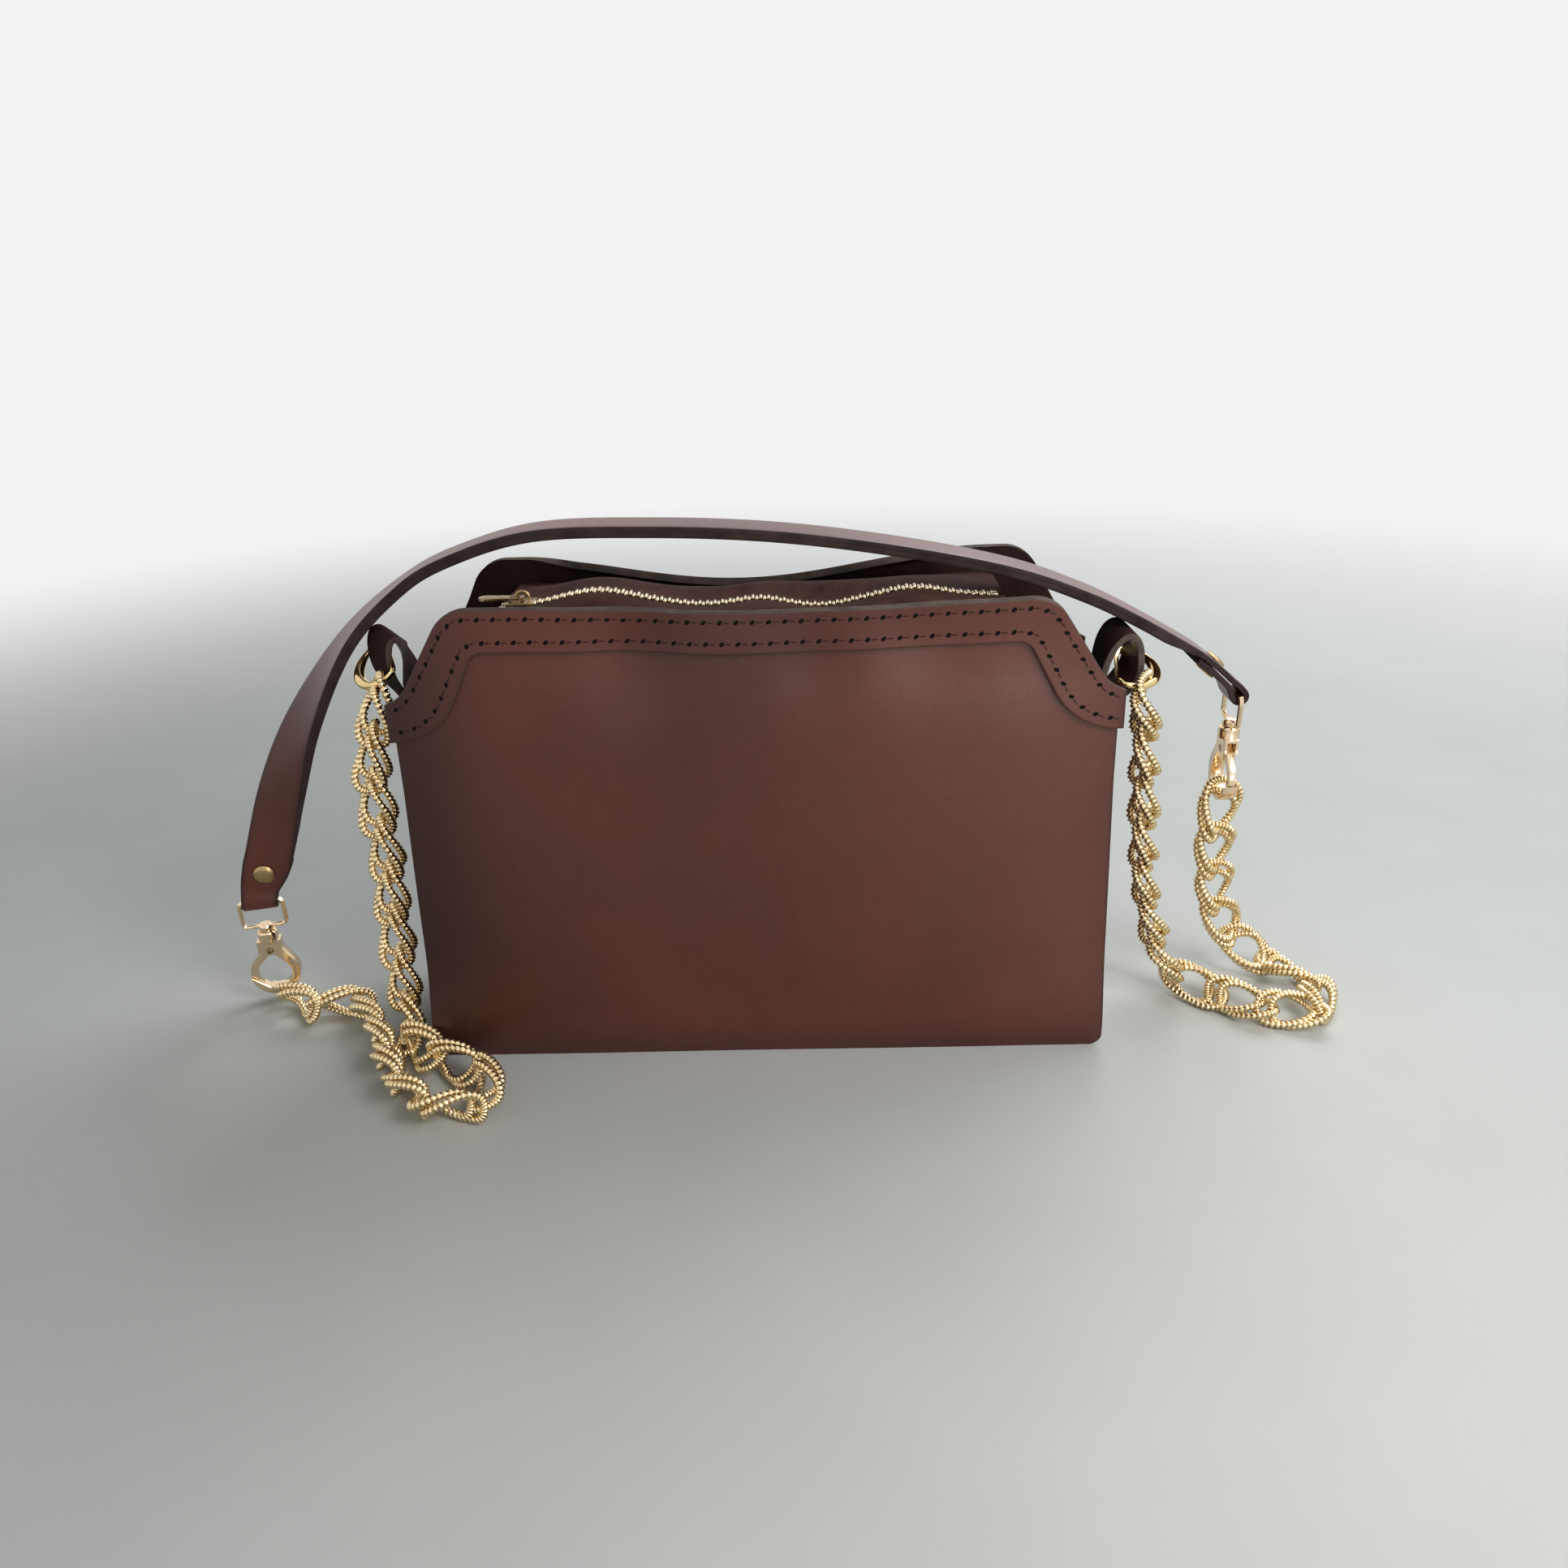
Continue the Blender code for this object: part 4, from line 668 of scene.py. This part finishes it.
def panel(name, node, surface, back):
    """A front or back panel, from its rounded foot corners up to its shaped top edge."""
    edge = top_edge(TOP_HALF_WIDTH, BAG_HEIGHT, (WAIST_HALF_WIDTH, SHOULDER_HEIGHT), **PANEL_EDGE)
    side = [(half_width(z), z) for z in spaced(SHOULDER_HEIGHT, FOOT_CORNER, 26)[1:-1]]
    corner = (half_width(FOOT_CORNER) - FOOT_CORNER, FOOT_CORNER)
    foot = arc(corner, FOOT_CORNER, 0.0, -math.pi / 2, 6)
    rows = [[surface(width * share, z) for share in with_margins(75, 0.010)]
            for width, z in reversed(edge + side + foot)]
    leather_layer(name, node, rows, LEATHER, back)


def facing_curves():
    """Matching (x, z) points along a facing's top and lower edge, from left to right."""
    upper = top_edge(TOP_HALF_WIDTH, BAG_HEIGHT, (FACING_END_HALF, SHOULDER_HEIGHT), **PANEL_EDGE)
    lower = top_edge(*LOWER_EDGE, (FACING_END_HALF, LOWER_EDGE_END), **FACING_EDGE)
    right = list(zip(upper, lower))
    left = [((-a[0], a[1]), (-b[0], b[1])) for a, b in reversed(right)]
    level = [((TOP_HALF_WIDTH * share, BAG_HEIGHT), (LOWER_EDGE[0] * share, LOWER_EDGE[1]))
             for share in spaced(-1, 1, 61)[1:-1]]
    return left + level + right


def facing(name, node, surface, back):
    """A band sewn on along a panel's top edge, with closer rows towards that edge."""
    away = Vector((0, 1, 0)) * (SEAM_GAP + FACING_LEATHER) * (1 if back else -1)
    rows = [[surface(u + (x - u) * share, v + (z - v) * share) + away
             for (x, z), (u, v) in facing_curves()]
            for share in (0.0, 0.06, 0.25, 0.5, 0.72, 0.80, 0.87, 0.93, 0.97, 1.0)]
    leather_layer(name, node, rows, FACING_LEATHER, back, rounding=0.0004)


# A loop's fold turns towards its axis, and its path is given outwards from the side and up.
LOOPS = {
    "left": {"axis": (-0.0130, 0.0150, 0.0020), "path": [
        (0.0004, 0.1330), (0.0012, 0.1390), (0.0026, 0.1440), (0.0044, 0.1472), (0.0066, 0.1484),
        (0.0088, 0.1472), (0.0100, 0.1435), (0.0102, 0.1390), (0.0094, 0.1345), (0.0072, 0.1300),
        (0.0046, 0.1262), (0.0028, 0.1225), (0.0026, 0.1140)]},
    "right": {"axis": (-0.0024, 0.0190, 0.0020), "path": [
        (0.0002, 0.1300), (0.0009, 0.1345), (0.0022, 0.1388), (0.0042, 0.1420), (0.0066, 0.1436),
        (0.0090, 0.1428), (0.0106, 0.1396), (0.0112, 0.1350), (0.0108, 0.1300), (0.0086, 0.1260),
        (0.0056, 0.1226), (0.0030, 0.1190), (0.0026, 0.1110)]}}
LOOP_HALF_WIDTH = 0.0074
GUSSET_INSET = 0.0014
GUSSET_PINCH = 0.0015
NECK_HEIGHT = 0.1230
NECK_STEPS = ((0.2, 0.3), (0.4, 0.62), (0.6, 0.83), (0.8, 0.95))


def gusset(side, sign):
    """Side strip between the panels, whose narrowed top is folded over as a loop and sewn down."""
    plane = WAIST_HALF_WIDTH - GUSSET_INSET
    straight = Vector((0, 1, 0))
    strips = []
    for z in [0.0, 0.0015, FOOT_CORNER] + spaced(0.010, NECK_HEIGHT, 20):
        below = max(0.0, FOOT_CORNER - z)
        width = half_width(z) - (FOOT_CORNER - math.sqrt(FOOT_CORNER ** 2 - below ** 2))
        front = front_surface(sign * width, z).y + LEATHER
        back = back_surface(sign * width, z).y - LEATHER
        middle = Vector((sign * (width - GUSSET_INSET), (front + back) / 2, z))
        strips.append((middle, straight, (back - front) / 2,
                       GUSSET_PINCH * math.sin(math.pi * z / NECK_HEIGHT)))
    axis = Vector(LOOPS[side]["axis"]).normalized()
    loop = smooth_path([(out, 0.0, z) for out, z in LOOPS[side]["path"]], 4)
    neck_middle, neck_half = strips[-1][0].y, strips[-1][2]
    for rise, narrowing in NECK_STEPS:
        middle = Vector((sign * plane, neck_middle * (1 - narrowing),
                         NECK_HEIGHT + (loop[0].z - NECK_HEIGHT) * rise))
        half = neck_half + (LOOP_HALF_WIDTH - neck_half) * narrowing
        strips.append((middle, straight, half, 0.0))
    for i, point in enumerate(loop):
        settle = min(1.0, i / 12, (len(loop) - 1 - i) / 12)
        strips.append((Vector((sign * (plane + point.x), 0.0, point.z)),
                       straight.lerp(axis, settle).normalized(), LOOP_HALF_WIDTH, 0.0))
    rows = []
    for middle, across, half, pinch in strips:
        inward = Vector((-sign * pinch, 0, 0))
        row = [middle + across * (half * share) + inward * (1 - share * share)
               for share in with_margins(11, 0.04)]
        rows.append(row if sign > 0 else row[::-1])
    dress(sheet(side + "_gusset_leather", rows, LEATHER, [painted_shade_leather, flesh_side, raw_edge],
                offset=0.0), side + "_gusset", "shell")


leather_look = leather_group()
tan_leather = leather_material("brown leather", TAN, DEEP_TAN)
# Painted shade: the gussets and base are the bag's own leather darkened to 0.55, as if in shade.
painted_shade_leather = leather_material("brown leather in painted shade", [c * 0.55 for c in TAN],
                                [c * 0.55 for c in DEEP_TAN])
raw_edge = fibre_material("cut leather edge", RAW_EDGE, 1800.0, 0.5)
flesh_side = fibre_material("flesh side of leather", FLESH, 700.0, 0.6)
panel("front_leather", "front_panel", front_surface, False)
panel("back_leather", "back_panel", back_surface, True)
facing("front_top_band", "front_facing", front_surface, False)
facing("back_top_band", "back_facing", back_surface, True)
gusset("left", -1)
gusset("right", 1)

base_rows = [[(x, y, 0.0) for x in spaced(0.1118, -0.1118, 30)]
             for y in (-0.0266, -0.018, 0.0, 0.018, 0.0285)]
dress(sheet("base_leather", base_rows, LEATHER, [painted_shade_leather, flesh_side, raw_edge]),
      "base_panel", "shell")


# The facings are sewn to the panels by hand in saddle stitch, 5 mm long, in two rows that follow
# their upper and lower edges. The thread is waxed and dark, and each slanting awl hole shows as a
# near-black disc of painted shade. Each side edge of the panels is whipped to its gusset with the
# same thread.
STITCH_PITCH = 0.0050
HOLE_LENGTH = 0.0019
HOLE_WIDTH = 0.0013
THREAD_RADIUS = 0.00020
THREAD_SHARE = 0.22
THREAD_MIDDLE = 0.42
UPPER_ROW = 0.0030
LOWER_ROW = 0.0035
HOLE_SLANT = math.radians(38.0)
THREAD_SAG = 0.00008
BAND_LIFT = 0.00003
EDGE_LIFT = 0.00006
EDGE_ROW = (0.008, 0.1165)
THREAD = (0.030, 0.012, 0.010)


def one_stitch():
    """Awl hole as a disc of painted shade, and the thread to the next one, along X, on a surface
    that faces Z.
    """
    bpy.ops.object.select_all(action="DESELECT")
    bpy.ops.mesh.primitive_cylinder_add(vertices=10, radius=0.5, depth=0.00006)
    hole = bpy.context.object
    hole.data.transform(Matrix.Rotation(HOLE_SLANT, 4, "Z")
                        @ Matrix.Diagonal((HOLE_LENGTH, HOLE_WIDTH, 1.0, 1.0)))
    hole.data.materials.append(awl_hole_painted_shade)
    bpy.ops.mesh.primitive_uv_sphere_add(segments=8, ring_count=8, radius=1.0)
    thread = bpy.context.object
    for vert in thread.data.vertices:
        x, y, z = vert.co
        along = max(-1.0, min(1.0, x * 1.06))
        thin = THREAD_RADIUS * (1 - along ** 6) ** 0.5 / max(math.hypot(y, z), 0.05)
        vert.co = ((along * THREAD_SHARE + THREAD_MIDDLE) * STITCH_PITCH, y * thin,
                   z * thin - THREAD_SAG * along * along)
    thread.data.materials.append(waxed_thread)
    thread.data.shade_smooth()
    return joined([hole, thread], "stitch")


def sew(name, rows):
    """Copies of the stitch along rows of (place, surface direction) points, joined in one piece."""
    pattern = one_stitch()
    stitches = []
    for row in rows:
        travelled, wanted = 0.0, STITCH_PITCH / 2
        for (a, facing_a), (b, facing_b) in zip(row, row[1:]):
            step = (b - a).length
            while step and wanted <= travelled + step:
                share = (wanted - travelled) / step
                along = (b - a).normalized()
                out = facing_a.lerp(facing_b, share)
                out = (out - along * out.dot(along)).normalized()
                stitches.append(own_copy(pattern, Matrix.Translation(a.lerp(b, share))
                                         @ turned_to(along, out.cross(along), out)))
                wanted += STITCH_PITCH
            travelled += step
    bpy.data.objects.remove(pattern)
    sewn = joined(stitches, name)
    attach(sewn, "shell")


def facing_rows(surface, back):
    """The two stitch rows on a facing's outer face."""
    away = Vector((0, 1 if back else -1, 0))
    upper, lower = [], []
    for high, low in facing_curves():
        gap = math.dist(high, low)
        for row, share in ((upper, UPPER_ROW / gap), (lower, 1 - LOWER_ROW / gap)):
            place = surface(high[0] + (low[0] - high[0]) * share,
                            high[1] + (low[1] - high[1]) * share)
            row.append((place + away * (SEAM_GAP + FACING_LEATHER + BAND_LIFT), away))
    return [upper[1:-1], lower[1:-1]]


def edge_rows(surface, back):
    """Rows down the two side edges of a panel, on the cut edge between the panel and its gusset."""
    inward = -LEATHER / 2 if back else LEATHER / 2
    return [[(surface(sign * half_width(z), z) + Vector((sign * EDGE_LIFT, inward, 0)),
              Vector((sign, 0, 0))) for z in spaced(*EDGE_ROW, 23)] for sign in (-1, 1)]


def ribs(tree, place, scale, distortion, direction="DIAGONAL"):
    """Even stripes, as of twisted or woven threads."""
    return put(tree, "ShaderNodeTexWave", {"Vector": place, "Scale": scale,
                                           "Distortion": distortion},
               bands_direction=direction).outputs["Fac"]


# Painted shade: the awl holes are near-black discs on the leather, not cut holes.
awl_hole_painted_shade = fibre_material("awl hole", (0.0045, 0.0030, 0.0030), 900.0, 0.2)
waxed_thread, tree, shader, place = new_material("waxed thread", Roughness=0.6,
                                                 Specular_IOR_Level=0.2)
twist = ribs(tree, place, 700.0, 1.5)
feed(tree, shader, tones(tree, twist, THREAD, (0.2, 0.6), (0.8, 1.5)),
     Normal=bump(tree, twist, 0.4, 0.0001))
for kind, rows_on in (("band", facing_rows), ("edge", edge_rows)):
    sew(f"front_{kind}_stitches", rows_on(front_surface, False))
    sew(f"back_{kind}_stitches", rows_on(back_surface, True))


# A metal zip closes the top. Its dark woven tapes are sewn inside the panels, and its closed rows
# of pale gold teeth, 2.5 mm apart on each side, rise and fall in soft waves between the stops. The
# slider stands at the left end with its pull lying back.
ZIP_HEIGHT = 0.1562
ZIP_HALF_LENGTH = 0.0800
TAPE_END = 0.0022
TAPE_EDGE = 0.0029
TAPE_THICKNESS = 0.0007
TAPE_DROP = 0.0080
TAPE_GAP = 0.0008
FRONT_HUMP = 0.0010
BACK_HUMP = 0.0032
TOOTH_PITCH = 0.0025
TOOTH = (0.0010, 0.0036, 0.0019)
TOOTH_ROUND = 0.00028
TOOTH_SHIFT = 0.0008
TEETH = 60
FIRST_TOOTH = 0.0770
ZIP_WAVES = [(-0.0500, 0.0170, 0.0046), (-0.0150, 0.0110, -0.0009), (0.0030, 0.0080, 0.0009),
             (0.0225, 0.0120, -0.0021), (0.0530, 0.0130, 0.0030)]
TAPE_BROWN = (0.068, 0.029, 0.022)


def wave(x):
    """How far the teeth rise above the straight line of a zip that lies flat."""
    return sum(rise * math.exp(-((x - middle) / width) ** 2) for middle, width, rise in ZIP_WAVES)


def woven_tape():
    """Woven tape: diagonal ribs on crossing threads, with a worn and clouded dye."""
    material, tree, shader, place = new_material("woven zip tape", Roughness=0.9,
                                                 Specular_IOR_Level=0.2)
    weave = math_node(tree, "MULTIPLY", ribs(tree, place, 420.0, 0.6),
                      ribs(tree, place, 560.0, 0.4, "X"))
    both = math_node(tree, "MULTIPLY_ADD", weave, 0.5, noise(tree, place, 120.0, 3.0))
    feed(tree, shader, tones(tree, both, TAPE_BROWN, (0.35, 0.5), (0.95, 1.5)),
         Normal=bump(tree, weave, 0.5, 0.0002))
    return material


def tape(name, node, back):
    """Tape from inside the panel, over a soft hump, to the teeth."""
    half = ZIP_HALF_LENGTH + TAPE_END
    surface, sign, hump = (back_surface, 1, BACK_HUMP) if back else (front_surface, -1, FRONT_HUMP)
    rows = []
    for step in [-1.0, -0.5, -0.1] + spaced(0.0, 1.0, 13):
        share = max(step, 0.0)
        height = ZIP_HEIGHT + min(step, 0.0) * TAPE_DROP
        row = []
        for x in spaced(-half, half, 81):
            face = surface(x, height).y - sign * (LEATHER + TAPE_GAP)
            soft = math.sin(math.pi * min(1.0, share * 1.05)) ** 2 * max(0.0, 1 - (x / half) ** 6)
            rise = wave(x) * eased(share) + hump * soft * (0.75 + 0.25 * math.sin(x * 90))
            row.append((x, face + (sign * TAPE_EDGE - face) * share, height + rise))
        rows.append(row)
    dress(sheet(name, rows[::-1] if back else rows, TAPE_THICKNESS, [zip_tape] * 3, offset=0.0,
                rounding=0.0001), node, "shell")


def teeth(name, node, sign):
    """One bevelled tooth, copied along the tape's edge in its waves."""
    bpy.ops.object.select_all(action="DESELECT")
    bpy.ops.mesh.primitive_cube_add(size=1.0)
    tooth = bpy.context.object
    tooth.data.transform(Matrix.Diagonal((*TOOTH, 1.0)))
    bpy.ops.object.mode_set(mode="EDIT")
    bpy.ops.mesh.select_all(action="SELECT")
    bpy.ops.mesh.bevel(offset=TOOTH_ROUND, segments=2, affect="EDGES")
    bpy.ops.object.mode_set(mode="OBJECT")
    tooth.data.shade_smooth()
    tooth.data.materials.append(zip_metal)
    copies = []
    for i in range(TEETH):
        x = FIRST_TOOTH - i * TOOTH_PITCH - (0.0 if sign < 0 else TOOTH_PITCH / 2)
        slope = math.atan2(wave(x + 0.001) - wave(x - 0.001), 0.002)
        place = Matrix.Translation((x, sign * TOOTH_SHIFT, ZIP_HEIGHT + wave(x)))
        copies.append(own_copy(tooth, place @ Matrix.Rotation(-slope, 4, "Y")))
    bpy.data.objects.remove(tooth)
    dress(joined(copies, name), node, "shell")


def refined(node, name, body, metal, bevel, rounds=0, angle=30.0):
    """A solid's own shape with its facets merged, its edges rounded and its curves smoothed."""
    source = frame["nodes"][node]
    mesh = source.data.copy()
    mesh.transform(source.matrix_world)
    mesh.materials.clear()
    mesh.materials.append(metal)
    obj = bpy.data.objects.new(name, mesh)
    bpy.context.collection.objects.link(obj)
    only(obj)
    bpy.ops.object.mode_set(mode="EDIT")
    bpy.ops.mesh.select_all(action="SELECT")
    bpy.ops.mesh.remove_doubles(threshold=0.000005)
    bpy.ops.mesh.dissolve_limited(angle_limit=math.radians(2.0))
    bpy.ops.object.mode_set(mode="OBJECT")
    round_edges(obj, bevel, angle)
    if rounds:
        soft = obj.modifiers.new("rounder", "SUBSURF")
        soft.levels = rounds
        soft.render_levels = rounds
        bpy.ops.object.modifier_apply(modifier="rounder")
    bpy.ops.object.shade_smooth_by_angle(angle=math.radians(40))
    dress(obj, node, body)


zip_tape = woven_tape()
zip_metal = gold_plate("zip gold", (0.92, 0.80, 0.58), 0.24)
slider_brass = gold_plate("slider brass", (0.42, 0.30, 0.16), 0.32)
tape("front_zip_tape", "zip_tape_front", False)
tape("back_zip_tape", "zip_tape_back", True)
teeth("front_zip_teeth", "zip_teeth_front", -1)
teeth("back_zip_teeth", "zip_teeth_back", 1)
for stop in ("zip_bottom_stop", "zip_top_stop_front", "zip_top_stop_back"):
    refined(stop, stop + "_metal", "shell", zip_metal, 0.0002)
for part in ("zip_slider", "zip_pull"):
    refined(part, part + "_metal", part, slider_brass, 0.00018)


# The strap is two layers of the same leather glued back to back, 17 mm wide and 3.6 mm thick, with
# dark cut sides. It twists on its way down, and each thinned end folds round the hook's eye and is
# held by a brass rivet.
STRAP_ROUTE = [
    (-0.1905, 0.0100, 0.0430), (-0.1886, 0.0100, 0.0500), (-0.1828, 0.0100, 0.0620),
    (-0.1730, 0.0100, 0.0875), (-0.1592, 0.0095, 0.1150), (-0.1382, 0.0088, 0.1440),
    (-0.1158, 0.0075, 0.1628), (-0.0967, 0.0062, 0.1724), (-0.0690, 0.0050, 0.1796),
    (-0.0320, 0.0050, 0.1799), (0.0072, 0.0050, 0.1775), (0.0465, 0.0050, 0.1719),
    (0.0835, 0.0050, 0.1640), (0.1080, 0.0050, 0.1552), (0.1275, 0.0050, 0.1455),
    (0.1472, 0.0050, 0.1335), (0.1585, 0.0050, 0.1240), (0.1625, 0.0050, 0.1190)]
STRAP_TURNS = [1.167, 1.16, 1.10, 0.88, 0.54, 0.22, 0.07, 0.02] + [0.0] * 10
STRAP_HALF_WIDTH = 0.0083
STRAP_THICKNESS = 0.0036
END_LAYER = 0.0019
END_HALF_WIDTH = 0.0062
END_TUCK = 0.0215
END_TAPER = 0.0120
END_PINCH = 0.0070
END_WIDENING = 0.0170
EYE_WIRE = 0.0009
LAYER_GAP = 0.0003
FOLD_RADIUS = EYE_WIRE + LAYER_GAP + END_LAYER / 2
SIDE_ROUND = 0.00045
LAYER_LINE = 0.00025
HOOK_TURNS = (math.radians(15.0), math.radians(90.0))
STRAP_EDGE = (0.046, 0.032, 0.029)


def strap_frames():
    """Points along the strap's middle, their directions along and across, and their distances."""
    path = smooth_path(STRAP_ROUTE, 10)
    turns = smooth_path([(share, 0.0, 0.0) for share in STRAP_TURNS], 10)
    frames, travelled = [], 0.0
    for i, point in enumerate(path):
        tangent = (path[min(i + 1, len(path) - 1)] - path[max(i - 1, 0)]).normalized()
        across = Vector((0, 1, 0))
        across = (across - tangent * across.dot(tangent)).normalized()
        across = Matrix.Rotation(turns[i].x * math.pi / 2, 3, tangent) @ across
        if i:
            travelled += (point - path[i - 1]).length
        frames.append((point, tangent, across, travelled))
    for end, turn in zip((0, -1), HOOK_TURNS):
        point, tangent, across, travelled = frames[end]
        bar = Vector((math.cos(turn), math.sin(turn), 0))
        bar = bar if bar.dot(across) > 0 else -bar
        frames[end] = (point, (tangent - bar * tangent.dot(bar)).normalized(), bar, travelled)
    return frames


def past_tuck(distance):
    """From zero where the tucked end stops to one where the strap has its full thickness."""
    return min(1.0, max(0.0, (distance - END_TUCK - LAYER_GAP) / END_TAPER))


def layer_offset(distance):
    """How far a layer lies from the strap's middle, by its distance from the fold."""
    close = (END_LAYER + LAYER_GAP) / 2
    if distance < END_PINCH:
        ease = 0.5 + 0.5 * math.cos(math.pi * distance / END_PINCH)
        return close + (FOLD_RADIUS - close) * ease
    return close * (1 - past_tuck(distance))


def strap_section(half, thickness):
    """Section as (across, up, rim), with rounded corners and a fine line where the layers meet."""
    high, cut = thickness / 2, SIDE_ROUND
    side = [(half - cut, -high, 1.0), (half - cut * 0.3, -high + cut * 0.3, 1.0),
            (half, -high + cut, 1.0), (half, -LAYER_LINE, 1.0), (half - 0.00010, 0.0, 1.0),
            (half, LAYER_LINE, 1.0), (half, high - cut, 1.0),
            (half - cut * 0.3, high - cut * 0.3, 1.0), (half - cut, high, 1.0)]
    top = [(half - 0.0012, high + 0.00008, 0.5), (half * 0.55, high + 0.0001, 0.0),
           (0.0, high + 0.00012, 0.0)]
    under = [(0.0, -high, 0.0), (half * 0.55, -high, 0.0), (half - 0.0012, -high, 0.5)]
    right = under + side + top
    return right + [(-u, v, rim) for u, v, rim in reversed(right[1:-1])]


def strap_run(frame, total, sign, tucked):
    """Where a section of the strap lies, or of the end that is tucked back under it."""
    point, tangent, across, travelled = frame
    distance = min(travelled, total - travelled)
    normal = tangent.cross(across)
    widening = eased(min(1.0, max(0.0, (distance - EYE_WIRE) / END_WIDENING)))
    width = END_HALF_WIDTH + (STRAP_HALF_WIDTH - END_HALF_WIDTH) * widening
    thickness = END_LAYER + (STRAP_THICKNESS - END_LAYER) * (0.0 if tucked else past_tuck(distance))
    return point + normal * (sign * layer_offset(distance)), across, normal * sign, width, thickness


def strap_fold(frame, sign):
    """Sections of an end on its way round the eye of its hook."""
    point, tangent, across, _ = frame
    normal = tangent.cross(across)
    for angle in spaced(-math.pi / 2, math.pi / 2, 11):
        radial = normal * math.sin(angle * sign) + tangent * (math.cos(angle) * -sign)
        yield point + radial * FOLD_RADIUS, across, radial, END_HALF_WIDTH, END_LAYER


def strap():
    """One skin from the left tucked end, round its eye, along the strap and round the other eye."""
    frames = strap_frames()
    total = frames[-1][3]
    inside = [one for one in frames[1:-1] if min(one[3], total - one[3]) >= FOLD_RADIUS / 2]
    left_end = [one for one in inside if one[3] < END_TUCK]
    right_end = [one for one in inside if one[3] > total - END_TUCK]
    places = ([strap_run(one, total, -1, True) for one in reversed(left_end)]
              + list(strap_fold(frames[0], 1))
              + [strap_run(one, total, 1, False) for one in inside]
              + list(strap_fold(frames[-1], -1))
              + [strap_run(one, total, -1, True) for one in reversed(right_end)])
    rows = []
    for middle, across, out, width, thickness in places:
        section = strap_section(width, thickness)
        rows.append([middle + across * u + out * v for u, v, _ in section + section[:1]])
    obj, rim = grid("strap_leather", rows)
    count = len(section)
    for i, point in enumerate(rim):
        point.value = section[i % (count + 1) % count][2]
    # The faces 3 to 9 of a section and their mirror images are the strap's cut sides.
    for face in obj.data.polygons:
        column = face.index % count
        face.material_index = int(3 <= column <= 9 or count - 11 <= column <= count - 5)
    obj.data.materials.append(strap_leather)
    obj.data.materials.append(strap_side)
    bpy.ops.object.mode_set(mode="EDIT")
    bpy.ops.mesh.select_all(action="SELECT")
    bpy.ops.mesh.remove_doubles(threshold=0.000001)
    bpy.ops.mesh.fill_holes(sides=0)
    bpy.ops.mesh.select_all(action="SELECT")
    bpy.ops.mesh.normals_make_consistent(inside=False)
    bpy.ops.object.mode_set(mode="OBJECT")
    for face in obj.data.polygons:
        if len(face.vertices) == count:
            face.material_index = 1
    bpy.ops.object.shade_smooth_by_angle(angle=math.radians(50))
    dress(obj, "strap", "shell")


# Painted light: the strap is the bag's own leather made 5% lighter, as its lit top.
strap_leather = leather_material("strap leather", [c * 1.05 for c in TAN], DEEP_TAN)
strap_side = fibre_material("cut strap side", STRAP_EDGE, 1500.0, 0.6)
strap()
rivet_brass = gold_plate("antique brass", (0.46, 0.33, 0.16), 0.34)
for rivet in ("left_rivet_cap", "left_rivet_base", "right_rivet_cap", "right_rivet_base"):
    refined(rivet, rivet + "_brass", "shell", rivet_brass, 0.0002)


# A D-shaped ring with a thick polished crest hangs in each side loop, and a swivelling snap hook of
# the same pale gold hangs from each end of the strap: an eye, a body with its sprung gate, a pin.
ring_gold = gold_plate("yellow gold", (0.92, 0.70, 0.34), 0.10)
hook_gold = gold_plate("rosy gold", (0.90, 0.70, 0.47), 0.14)
for side in ("left", "right"):
    refined(f"{side}_d_ring", f"{side}_ring_gold", f"{side}_ring", ring_gold,
            0.0001, rounds=1, angle=80.0)
    refined(f"{side}_hook_eye", f"{side}_eye_gold", f"{side}_eye", hook_gold,
            0.0002, angle=50.0)
    for part, body, slot, metal, bevel in (
            ("hook_body", "hook", "pale_gold", hook_gold, 0.00035),
            ("hook_gate_pin", "hook", "antique_brass", rivet_brass, 0.0002),
            ("hook_gate_spring", "hook", "antique_brass", rivet_brass, 0.00005),
            ("hook_gate", "gate", "pale_gold", hook_gold, 0.0002)):
        refined(f"{side}_{part}", f"{side}_{part}_gold", f"{side}_{body}", metal, bevel)
